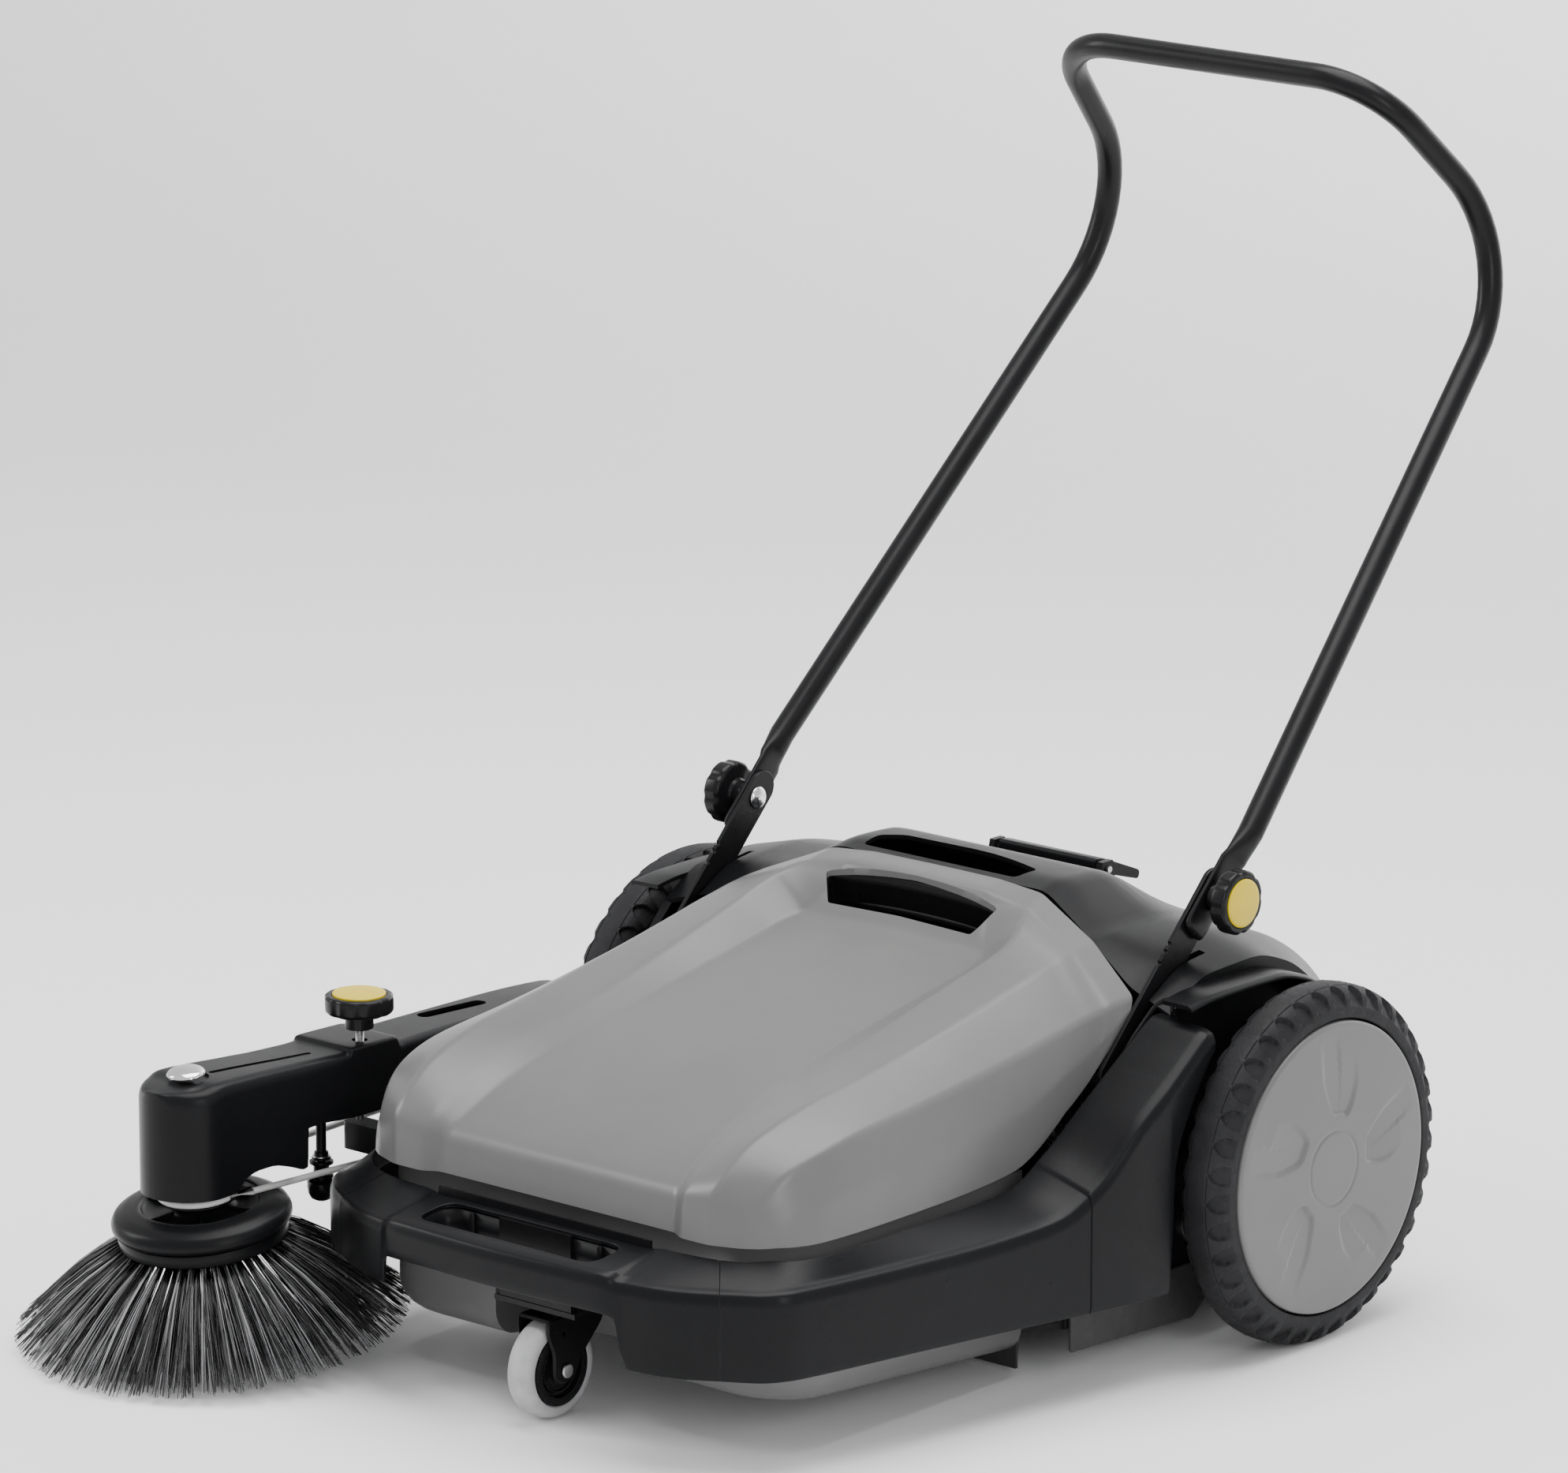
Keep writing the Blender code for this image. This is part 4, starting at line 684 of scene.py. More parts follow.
def make_arch(name, side):
    """Mudguard strip over the wheel's inner edge."""
    arch = [(-0.122, 0.3150), (-0.090, 0.3185), (-0.050, 0.3190), (0.000, 0.3180), (0.034, 0.3105),
            (0.062, 0.2970), (0.100, 0.2660), (0.128, 0.2220), (0.146, 0.160)]
    path = [Vector((0.0, row[0], row[1])) for row in smoothed([list(p) for p in arch], 5)]
    rings = []
    for index, point in enumerate(path):
        ahead = path[min(index + 1, len(path) - 1)] - path[max(index - 1, 0)]
        normal = Vector((0.0, -ahead.z, ahead.y)).normalized()
        section = rounded([(0.2845, 0.0, 0), (0.3120, -0.0006, 0), (0.3160, -0.0030, 0),
                           (0.3160, -0.0060, 0), (0.3120, -0.0042, 0), (0.2845, -0.0040, 0)], 0.0010, 2)
        rings.append([Vector((side * p.x, point.y, point.z)) + normal * p.y for p in section])
    piece("mudguard_" + name, lofted(rings), "black_plastic", "chassis")


def make_seals():
    for name, side in (("left", 1.0), ("right", -1.0)):
        outline = ((-0.246, 0.034), (-0.160, 0.030), (-0.080, 0.026), (-0.062, 0.040), (-0.062, 0.075),
                   (-0.246, 0.075))
        low, high = sorted((side * (WALL_OUTSIDE_X + 0.0004), side * (WALL_OUTSIDE_X + 0.0034)))
        piece("skirt_" + name, prism(outline, "X", low, high, 0.003, 0.0006), "seal_rubber", "chassis",
              ["side_skirt_" + name])
    piece("rear_sheet", scalloped_sheet(-0.278, 0.278, 0.1405, 0.1440, 0.005, 0.080), "seal_rubber", "chassis",
          ["rear_seal"])
    piece("flap_sheet", scalloped_sheet(-0.226, 0.226, -0.2425, -0.2395, 0.006, 0.046), "seal_rubber",
          "hopper", ["front_flap"])


def scalloped_sheet(left, right, front, back, low, high):
    """Hanging rubber sheet with short slits along its lower edge."""
    line = []
    slits = 12
    pitch = (right - left) / slits
    for index in range(slits):
        start = left + pitch * index
        line += [(start + 0.0006, low), (start + pitch - 0.0006, low)]
        if index < slits - 1:
            line.append((start + pitch, low + 0.014))
    line += [(right, high), (left, high)]
    rings = [[(x, y, z) for x, z in line] for y in (front, back)]
    return lofted(rings)


# ---------------------------------------------------------------- hopper

LID_HALF = (
    ((0, -0.078, 0.3745), (0.070, -0.078, 0.3740), (0.118, -0.079, 0.3700), (0.185, -0.092, 0.342),
     (0.243, -0.110, 0.308), (0.248, -0.118, 0.300), (0.2495, -0.126, 0.290)),
    ((0, -0.104, 0.3715), (0.075, -0.103, 0.3705), (0.121, -0.101, 0.3645), (0.185, -0.118, 0.341),
     (0.241, -0.136, 0.305), (0.247, -0.150, 0.282), (0.2495, -0.165, 0.258)),
    ((0, -0.112, 0.3640), (0.080, -0.111, 0.3610), (0.127, -0.109, 0.3625), (0.186, -0.126, 0.3395),
     (0.240, -0.145, 0.303), (0.247, -0.162, 0.275), (0.2495, -0.180, 0.246)),
    ((0, -0.132, 0.3370), (0.095, -0.132, 0.3345), (0.134, -0.128, 0.3570), (0.187, -0.138, 0.3375),
     (0.239, -0.160, 0.301), (0.247, -0.180, 0.268), (0.2495, -0.198, 0.234)),
    ((0, -0.142, 0.3290), (0.104, -0.142, 0.3265), (0.139, -0.140, 0.3520), (0.187, -0.148, 0.3355),
     (0.2385, -0.170, 0.2995), (0.247, -0.192, 0.264), (0.2495, -0.208, 0.228)),
    ((0, -0.170, 0.3215), (0.110, -0.168, 0.3185), (0.143, -0.168, 0.3420), (0.188, -0.172, 0.331),
     (0.238, -0.190, 0.296), (0.247, -0.210, 0.258), (0.2495, -0.222, 0.218)),
    ((0, -0.250, 0.3050), (0.108, -0.250, 0.3035), (0.141, -0.250, 0.3215), (0.188, -0.250, 0.316),
     (0.237, -0.250, 0.286), (0.246, -0.265, 0.238), (0.2490, -0.275, 0.192)),
    ((0, -0.370, 0.2830), (0.107, -0.370, 0.2825), (0.140, -0.370, 0.2915), (0.187, -0.370, 0.296),
     (0.235, -0.370, 0.271), (0.245, -0.370, 0.228), (0.2480, -0.370, 0.186)),
    ((0, -0.470, 0.2610), (0.116, -0.470, 0.2610), (0.143, -0.470, 0.2690), (0.184, -0.470, 0.281),
     (0.233, -0.470, 0.262), (0.243, -0.470, 0.222), (0.2460, -0.470, 0.185)),
    ((0, -0.535, 0.2370), (0.124, -0.535, 0.2370), (0.143, -0.537, 0.2470), (0.181, -0.536, 0.2600),
     (0.224, -0.527, 0.2470), (0.237, -0.520, 0.214), (0.2420, -0.515, 0.185)),
    ((0, -0.566, 0.2140), (0.130, -0.566, 0.2140), (0.144, -0.573, 0.2210), (0.178, -0.5755, 0.2240),
     (0.211, -0.559, 0.2150), (0.226, -0.547, 0.200), (0.2330, -0.538, 0.185)),
    ((0, -0.571, 0.185), (0.132, -0.571, 0.185), (0.145, -0.5795, 0.185), (0.176, -0.5795, 0.185),
     (0.204, -0.569, 0.185), (0.217, -0.559, 0.185), (0.2240, -0.549, 0.185)),
)


def make_lid():
    rows = [[mirrored(point, -1.0) for point in reversed(row[1:])] + list(row) for row in LID_HALF]
    soft = [rounded(row, 0.0055, 4, closed=False) for row in rows]
    rings = [as_points(row) for row in smoothed(soft, 6)]
    lid = make_object("lid_shell", lofted(rings, wrap_points=False, caps=False), 0.5)
    shell(lid, 0.0035)
    slot = [(-0.0960, -0.1135, 0.0)]
    slot += [(0.0960 * math.sin(math.pi / 2 * step / 6),
              -0.1135 + 0.0075 * math.cos(math.pi / 2 * step / 6), 0.0) for step in range(-5, 6)]
    slot += [(0.0960, -0.1135, 0.0), (0.0800, -0.1300, 0.0), (-0.0800, -0.1300, 0.0)]
    slot = rounded(slot, 0.0022, 3)
    cut(lid, lofted([[(p.x, p.y, level) for p in slot] for level in (0.28, 0.40)]))
    bevel(lid, 0.0010, 3, 0.9)
    dress(lid, "grey_plastic", "hopper", ["hopper_lid"])
    # black tray behind the hand hole, going down and back from its edge
    rings = []
    for level, back, grow in ((0.0, 0.0, 0.0030), (0.012, 0.004, 0.0030), (0.030, 0.010, 0.0),
                              (0.034, 0.012, -0.004)):
        ring = []
        for p in slot:
            top = 0.3640 - max(0.0, -0.112 - p.y) * 1.42 + max(0.0, p.y + 0.112) * 0.85
            size = 1.0 + grow / 0.09
            y = -0.1200 + (p.y + 0.1200) * (1.0 + grow / 0.012) + back
            ring.append((p.x * size, y, top - 0.0044 - level))
        rings.append(ring)
    wall = make_object("hand_hole_wall", lofted(rings, caps=False), 0.6)
    shell(wall, 0.0018)
    dress(wall, "black_smooth", "hopper")


def tub_level(half, front, radius, rear, z_front, z_rear, steps=10):
    side = [(half, rear)]
    for step in range(steps + 1):
        angle = math.pi / 2 * step / steps
        side.append((half - radius + radius * math.cos(angle), front + radius - radius * math.sin(angle)))
    points = side + [(-x, y) for x, y in reversed(side)]
    return [(x, y, z_front + (z_rear - z_front) * (y + 0.552) / 0.309) for x, y in points]


def tub_solid(inset, rear, lift, top):
    rings = []
    round_floor = 0.024
    for step in range(7):
        angle = math.pi / 2 * step / 6
        shrink = round_floor * (1.0 - math.sin(angle)) + inset
        rise = round_floor * (1.0 - math.cos(angle)) + lift
        rings.append(tub_level(0.232 - shrink, -0.552 + shrink, 0.062 - 0.6 * shrink, rear,
                               0.044 + rise, 0.020 + rise))
    rings.append([(x, y, top) for x, y, _ in rings[-1]])
    return lofted(rings)


def make_tub():
    tub = make_object("tub_shell", tub_solid(0.0, -0.243, 0.0, 0.1828), 0.5)
    notch = rounded_block((-0.086, -0.60, 0.0), (0.086, -0.472, 0.108), 0.018, 5)
    cut(tub, notch)
    inside = make_object("tub_inside", tub_solid(0.0035, -0.22, 0.0035, 0.25), 0.5)
    cut(inside, rounded_block((-0.0895, -0.60, 0.0), (0.0895, -0.4685, 0.1115), 0.020, 5))
    step = tub.modifiers.new("inside", "BOOLEAN")
    step.object = inside
    apply_modifiers(tub)
    bpy.data.objects.remove(inside, do_unlink=True)
    tub.data.shade_smooth()
    tub.data.set_sharp_from_angle(angle=0.5)
    dress(tub, "grey_plastic", "hopper", ["hopper_tub"])


# ---------------------------------------------------------------- handle and knobs

def make_handle():
    direction = Vector((0.0, math.cos(LEG_SLOPE), math.sin(LEG_SLOPE)))
    corners = []
    for side in (1.0, -1.0):
        start = Vector((side * 0.2640, 0, 0)) + Vector((0, FOLD.y, FOLD.z)) + direction * 0.066
        half = [start, Vector(mirrored(HANDLE_BEND, side)), Vector(mirrored(HANDLE_TOP, side))]
        corners += half if side > 0 else half[::-1]
    path = denser(arc_path(corners, (0.11, 0.075, 0.075, 0.11), 14), 0.03)
    end = Vector((HANDLE_END_X, FOLD.y, FOLD.z))
    lead = [end + direction * along for along in (-0.0388, -0.0375, -0.034, -0.028, 0.0, 0.020, 0.034)]
    lead += [end.lerp(path[0], part) for part in (0.62, 0.74, 0.86)]
    other = [Vector(mirrored(point, -1.0)) for point in reversed(lead)]
    full = lead + path + other
    flat, tube = (0.0030, 0.0150), (TUBE_RADIUS, TUBE_RADIUS)
    ends = [(0.0018, 0.0085), (0.0026, 0.0120), (0.0030, 0.0140)] + [flat] * 4
    blend = [0.18, 0.45, 0.80]
    ends += [(flat[0] + (tube[0] - flat[0]) * part, flat[1] + (tube[1] - flat[1]) * part) for part in blend]
    powers = [0.55] * 7 + [0.65, 0.80, 0.92]
    sizes = ends + [tube] * len(path) + ends[::-1]
    power = powers + [1.0] * len(path) + powers[::-1]
    bm = swept(full, sizes, 28, first=(1, 0, 0), power=power)
    piece("handle_tube", bm, "black_paint", "handle", ["push_handle"], 0.8)


def make_straps():
    direction = Vector((0.0, math.cos(LEG_SLOPE), math.sin(LEG_SLOPE)))
    normal = Vector((0.0, -math.sin(LEG_SLOPE), math.cos(LEG_SLOPE)))
    fold = Vector((0.0, FOLD.y, FOLD.z))
    foot = fold - direction * 0.185
    half = 0.015
    outline = []
    for centre, start in ((0.196, -90), (0.0, 90)):
        for step in range(17):
            angle = math.radians(start + 180 * step / 16)
            outline.append((centre + half * math.cos(angle), half * math.sin(angle)))
    # small teeth on the upper edge, where the strap is pinned to the post
    for along in (0.118, 0.126, 0.106):
        outline += [(along + 0.0022, half), (along + 0.0010, half - 0.0022), (along - 0.0010, half - 0.0022),
                    (along - 0.0022, half)]
    upper = sorted(outline[34:], key=lambda p: -p[0])
    outline = outline[:17] + upper + outline[17:34]
    for name, side in (("left", 1.0), ("right", -1.0)):
        line = []
        for along, across in outline:
            point = foot + direction * along + normal * across
            line.append((point.y, point.z))
        low, high = sorted((side * STRAP_X[0], side * STRAP_X[1]))
        strap = make_object(name + "_strap_bar", prism(line, "X", low, high, chamfer=0.0005), 0.5)
        holes = []
        for along in (0.055, 0.086):
            point = foot + direction * along
            holes.append(round_cutter("X", (0, point.y, point.z), 0.0032, low - 0.01, high + 0.01, 20))
        cut(strap, *holes)
        dress(strap, "black_paint", "chassis", [name + "_handle_strap"])
        profile = soft_profile([(0.0, 0.2476), (0.0045, 0.2480), (0.0080, 0.2492), (0.0100, 0.2510),
                                (0.0102, 0.2521), (0.004, 0.2521), (0.004, 0.2800), (0.0, 0.2800)], 0.0012)
        bm = turned("X", (0, FOLD.y, FOLD.z), [(r, side * x) for r, x in profile], 40)
        piece(name + "_dome_bolt", bm, "chrome_steel", "chassis", [name + "_handle_bolt"])


def star(angle):
    """Eight shallow finger scallops."""
    return 1.0 - 0.045 * max(0.0, math.cos(8.0 * angle)) ** 1.5


def knob_profile(radius, direction):
    body = [(0.0001, 0.0200), (0.0044, 0.0200), (0.0044, 0.0), (0.0118, 0.0), (0.0125, 0.0008),
            (0.0120, 0.0100), (0.0140, 0.0122)]
    rows = [(r, direction * x) for r, x in body]
    steps = 8
    for step in range(steps + 1):
        angle = math.pi / 2 * step / steps
        rows.append((radius - 0.0050 + 0.0050 * math.sin(angle),
                     direction * (0.0185 - 0.0050 * math.cos(angle)), star))
    for step in range(steps + 1):
        angle = math.pi / 2 * step / steps
        rows.append((radius - 0.0035 + 0.0035 * math.cos(angle),
                     direction * (0.0268 + 0.0032 * math.sin(angle)), star))
    rows.append((radius - 0.0060, direction * 0.0300, lambda angle: 1.0))
    rows.append((radius - 0.0066, direction * 0.0292))
    rows.append((0.0001, direction * 0.0292))
    return rows


def cap_profile(radius, direction):
    edge = radius - 0.0070
    rows = [(0.0001, 0.0294), (edge, 0.0294), (edge, 0.0310), (edge - 0.0008, 0.0316)]
    rows += [(edge * (1.0 - step / 8), 0.0316 + 0.0014 * math.sin(math.pi / 2 * step / 8))
             for step in range(1, 8)]
    rows.append((0.0001, 0.0330))
    return [(r, direction * x) for r, x in rows]


def make_knobs():
    foot = 0.2634
    for name, side in (("left", 1.0), ("right", -1.0)):
        centre = (side * foot, FOLD.y, FOLD.z)
        piece(name + "_star_knob", turned("X", centre, knob_profile(0.0280, side), 128), "black_smooth",
              name + "_knob", [name + "_handle_knob"], 0.6)
        piece(name + "_yellow_disc", turned("X", centre, cap_profile(0.0280, side), 64), "yellow_plastic",
              name + "_knob", [name + "_knob_cap"], 0.6)
    centre = tuple(SPINDLE)
    piece("brush_star_knob", turned("Z", centre, knob_profile(0.0300, 1.0), 128), "black_smooth",
          "brush_adjuster", ["side_brush_knob"], 0.6)
    piece("brush_yellow_disc", turned("Z", centre, cap_profile(0.0300, 1.0), 64), "yellow_plastic",
          "brush_adjuster", ["side_brush_knob_cap"], 0.6)
    make_spindle(centre)


def make_spindle(centre):
    """Threaded rod below the knob."""
    pitch, low, high, radius = 0.00125, -0.0815, 0.0190, 0.0040
    around = 20
    turns = int((high - low) / pitch)
    rings = []
    for step in range(turns * 4 + 1):
        z = low + pitch * step / 4
        ring = []
        for index in range(around):
            phase = (index / around - step / 4) % 1.0
            depth = 0.0007 * abs(2.0 * phase - 1.0)
            angle = 2.0 * math.pi * index / around
            ring.append((centre[0] + (radius - depth) * math.cos(angle),
                         centre[1] + (radius - depth) * math.sin(angle), centre[2] + z))
        rings.append(ring)
    piece("spindle_thread", lofted(rings), "bright_steel", "brush_adjuster", ["side_brush_spindle"])


# ---------------------------------------------------------------- wheels

POCKETS = 38
TYRE_HALF = (
    # radius and x along the outer half of the section, from the bead to the middle of the tread
    (0.1290, 0.3690), (0.1293, 0.3712), (0.1310, 0.3720), (0.1340, 0.3720), (0.1370, 0.3719),
    (0.1385, 0.3717), (0.1400, 0.3715), (0.1415, 0.3713), (0.1430, 0.3710), (0.1445, 0.3706),
    (0.1460, 0.3700), (0.1475, 0.3693), (0.1490, 0.3684), (0.1503, 0.3675), (0.1515, 0.3664),
    (0.1526, 0.3652), (0.1536, 0.3640), (0.1544, 0.3628), (0.1550, 0.3616), (0.1555, 0.3606),
    (0.1558, 0.3598), (0.1549, 0.3594), (0.1549, 0.3590), (0.1560, 0.3586), (0.1564, 0.3570),
    (0.1567, 0.3550), (0.1569, 0.3525), (0.1570, 0.3500), (0.1570, 0.3485),
)


def pocket_depth(angle, radius, along):
    """Depth of the shoulder pockets; along runs from 0 at the tread to 1 at the sidewall."""
    pitch = 2.0 * math.pi / POCKETS
    offset = abs((angle + pitch / 2) % pitch - pitch / 2) * radius
    half = 0.0084
    if along < 0.0 or along > 1.0:
        return 0.0
    reach = along * 0.0170
    rounding = half - math.sqrt(max(0.0, half ** 2 - max(0.0, half - reach) ** 2))
    inside = (half - rounding) - offset
    wall = max(0.0, min(1.0, inside / 0.0011))
    return 0.0042 * wall * (1.0 - along ** 2.5)


def make_tyre(name, side):
    middle = (TYRE_INSIDE + TYRE_OUTSIDE) / 2.0
    half = smoothed([list(row) for row in TYRE_HALF], 2)
    profile = half + [(r, 2.0 * middle - x) for r, x in half[-2::-1]]
    last = len(profile) - 1
    steps = POCKETS * 20
    low_r, high_r = 0.1390, 0.15575
    rings = []
    for index, (radius, x) in enumerate(profile):
        before, after = profile[max(index - 1, 0)], profile[min(index + 1, last)]
        run = Vector((after[0] - before[0], after[1] - before[1])).normalized()
        normal = Vector((-run.y, run.x))
        outer = index <= last // 2
        if (normal.x if abs(normal.x) > 0.5 else (normal.y if outer else -normal.y)) < 0:
            normal = -normal
        along = (high_r - radius) / (high_r - low_r)
        in_shoulder = low_r < radius < high_r and abs(x - middle) > 0.011
        ring = []
        for step in range(steps):
            angle = 2.0 * math.pi * step / steps
            phase = angle if outer else angle + math.pi / POCKETS
            depth = pocket_depth(phase, radius, along) if in_shoulder else 0.0
            r = radius - normal.x * depth
            ring.append((side * (x - normal.y * depth), r * math.cos(angle), WHEEL_Z + r * math.sin(angle)))
        rings.append(ring)
    piece(name + "_tread", lofted(rings, wrap_rings=True), "tyre_rubber", name + "_wheel",
          [name + "_tyre"], 0.9)


def petal_press(radius, angle):
    """Depth of the pressed panels in the wheel cap: a ring round the hub and five curved petals."""
    depth = 0.0009 * math.exp(-((radius - 0.0325) / 0.0012) ** 2)
    if radius < 0.040:
        return depth
    grown = radius - 0.0445
    for index in range(5):
        centre = (math.radians(79.0 + 72.0 * index) + 2.6 * (radius - 0.050)
                  - 14.0 * max(0.0, radius - 0.075) ** 2)
        offset = (angle - centre + math.pi) % (2.0 * math.pi) - math.pi
        across = offset * radius
        if abs(offset) > 1.2 or grown <= 0.0:
            continue
        width = min(0.0052 + 1.05 * math.sqrt(grown * 0.0105), 0.0250)
        inside = width - abs(across)
        wall = max(0.0, min(1.0, inside / 0.0042))
        wall = wall * wall * (3.0 - 2.0 * wall)
        start = min(1.0, grown / 0.0040)
        fade = max(0.0, 1.0 - (radius - 0.0445) / (0.072 if across > 0 else 0.050))
        depth += 0.0030 * wall * start * fade ** 0.8
    return depth


def make_cap(name, side):
    segments = 300
    rings = []
    radii = [0.0001] + [0.004 * step for step in range(1, 7)] + [0.0255 + 0.0011 * step for step in range(90)]
    radii = [radius for radius in radii if radius < CAP_RADIUS - 0.0028]
    for radius in radii:
        face = 0.3762 - 0.0022 * (radius / CAP_RADIUS) ** 2
        ring = []
        for step in range(segments):
            angle = 2.0 * math.pi * step / segments
            x = face - petal_press(radius, angle)
            ring.append((side * x, radius * math.cos(angle) * (1.0 if side > 0 else -1.0),
                         WHEEL_Z + radius * math.sin(angle)))
        rings.append(ring)
    for radius, x in ((CAP_RADIUS - 0.0020, 0.3738), (CAP_RADIUS - 0.0009, 0.3731),
                      (CAP_RADIUS - 0.0002, 0.3720), (CAP_RADIUS, 0.3700), (CAP_RADIUS, 0.3670),
                      (CAP_RADIUS - 0.002, 0.3662), (0.0001, 0.3662)):
        mirror = 1.0 if side > 0 else -1.0
        rings.append([(side * x, mirror * radius * math.cos(2 * math.pi * step / segments),
                       WHEEL_Z + radius * math.sin(2 * math.pi * step / segments)) for step in range(segments)])
    piece(name + "_cap_disc", lofted(rings), "grey_plastic", name + "_wheel", [name + "_wheel_cap"], 0.9)


def make_wheels():
    for name, side in (("left", 1.0), ("right", -1.0)):
        make_tyre(name, side)
        make_cap(name, side)
        disc = soft_profile([(0.0104, 0.3095), (0.021, 0.3095), (0.024, 0.3375), (0.112, 0.3400),
                             (0.1215, 0.3365), (0.1215, 0.3257), (0.1286, 0.3257), (0.1286, 0.3655),
                             (0.118, 0.3655), (0.112, 0.3480), (0.026, 0.3460), (0.020, 0.3600),
                             (0.0104, 0.3600)], 0.0012, 2, closed=True)
        bm = turned("X", (0, 0, WHEEL_Z), [(r, side * x) for r, x in disc], 96, closed=True)
        piece(name + "_wheel_body", bm, "black_plastic", name + "_wheel", [name + "_wheel_disc"])


# ---------------------------------------------------------------- bristles

def filaments(name, paths, thickness, body, nodes):
    """Many thin tapering filaments in one mesh; each path is a list of points."""
    vertices, faces = [], []
    sides = 3
    for path in paths:
        start = len(vertices)
        along = (path[-1] - path[0]).normalized()
        first = along.orthogonal().normalized()
        second = along.cross(first)
        count = len(path)
        for index, point in enumerate(path):
            radius = thickness * (1.0 - 0.35 * index / (count - 1))
            for step in range(sides):
                angle = 2.0 * math.pi * step / sides
                vertices.append(point + first * (radius * math.cos(angle))
                                + second * (radius * math.sin(angle)))
        for index in range(count - 1):
            for step in range(sides):
                a = start + index * sides + step
                b = start + index * sides + (step + 1) % sides
                faces.append((a, b, b + sides, a + sides))
        faces.append(tuple(start + step for step in reversed(range(sides))))
        faces.append(tuple(start + (count - 1) * sides + step for step in range(sides)))
    mesh = bpy.data.meshes.new(name)
    mesh.from_pydata([tuple(v + LAYOUT) for v in vertices], [], faces)
    mesh.shade_smooth()
    return dress(linked(name, mesh), "bristle", body, nodes)


def brush_place():
    """Turn and place of the side brush's own axis."""
    turn = Vector((0.0, 0.0, 1.0)).rotation_difference(BRUSH_AXIS).to_matrix().to_4x4()
    return Matrix.Translation(BRUSH) @ turn


def make_brush_bristles():
    draw = random.Random(5)
    place = brush_place()
    paths = []
    tufts = 46
    # root radius, tip radius and tip height of each row of tufts
    tuft_rows = ((0.0525, 0.125, 0.0008), (0.0600, 0.148, 0.0008), (0.0675, 0.169, 0.0012))
    for row, (root, tip, foot) in enumerate(tuft_rows):
        for tuft in range(tufts):
            heading = 2.0 * math.pi * (tuft + 0.5 * (row % 2)) / tufts
            for _ in range(25):
                spread_angle = draw.gauss(0.0, 0.022)
                start_angle = heading + draw.uniform(-0.026, 0.026)
                end_angle = start_angle + spread_angle + draw.gauss(0.0, 0.018)
                start_radius = root + draw.uniform(-0.0026, 0.0026)
                end_radius = tip * draw.uniform(0.93, 1.012)
                end_radius = min(end_radius, BRUSH_RADIUS - 0.001)
                drop = draw.uniform(0.0, 0.004)
                sag = draw.uniform(0.004, 0.011)
                path = []
                for step in range(6):
                    part = step / 5
                    radius = start_radius + (end_radius - start_radius) * (part ** 1.12)
                    angle = start_angle + (end_angle - start_angle) * part
                    height = 0.0775 + (foot + drop - 0.0775) * part + sag * math.sin(math.pi * part)
                    path.append(place @ Vector((radius * math.cos(angle), radius * math.sin(angle), height)))
                paths.append(path)
    filaments("side_bristle_strands", paths, 0.00060, "side_brush", ["brush_bristles"])


def make_roller_bristles():
    draw = random.Random(8)
    paths = []
    rows, tufts, strands = 8, 58, 9
    half = ROLLER_HALF_LENGTH - 0.003
    for row in range(rows):
        for tuft in range(tufts):
            x = -half + 2.0 * half * tuft / (tufts - 1)
            heading = 2.0 * math.pi * row / rows + abs(x) * 4.0
            for _ in range(strands):
                start = heading + draw.uniform(-0.07, 0.07)
                end = start + draw.gauss(0.0, 0.035)
                shift = draw.gauss(0.0, 0.0022)
                tip = (ROLLER_RADIUS - 0.0006) * draw.uniform(0.975, 1.0)
                path = []
                for step in range(4):
                    part = step / 3
                    radius = 0.0352 + (tip - 0.0352) * part
                    angle = start + (end - start) * part
                    reach = max(-half, min(half, x + shift * part))
                    path.append(Vector((reach, ROLLER.y + radius * math.cos(angle),
                                        ROLLER.z + radius * math.sin(angle))))
                paths.append(path)
    filaments("roller_strands", paths, 0.00075, "roller", ["roller_bristles"])


# ---------------------------------------------------------------- side brush and its arm

def on_brush(bm):
    bm.transform(brush_place())
    return bm


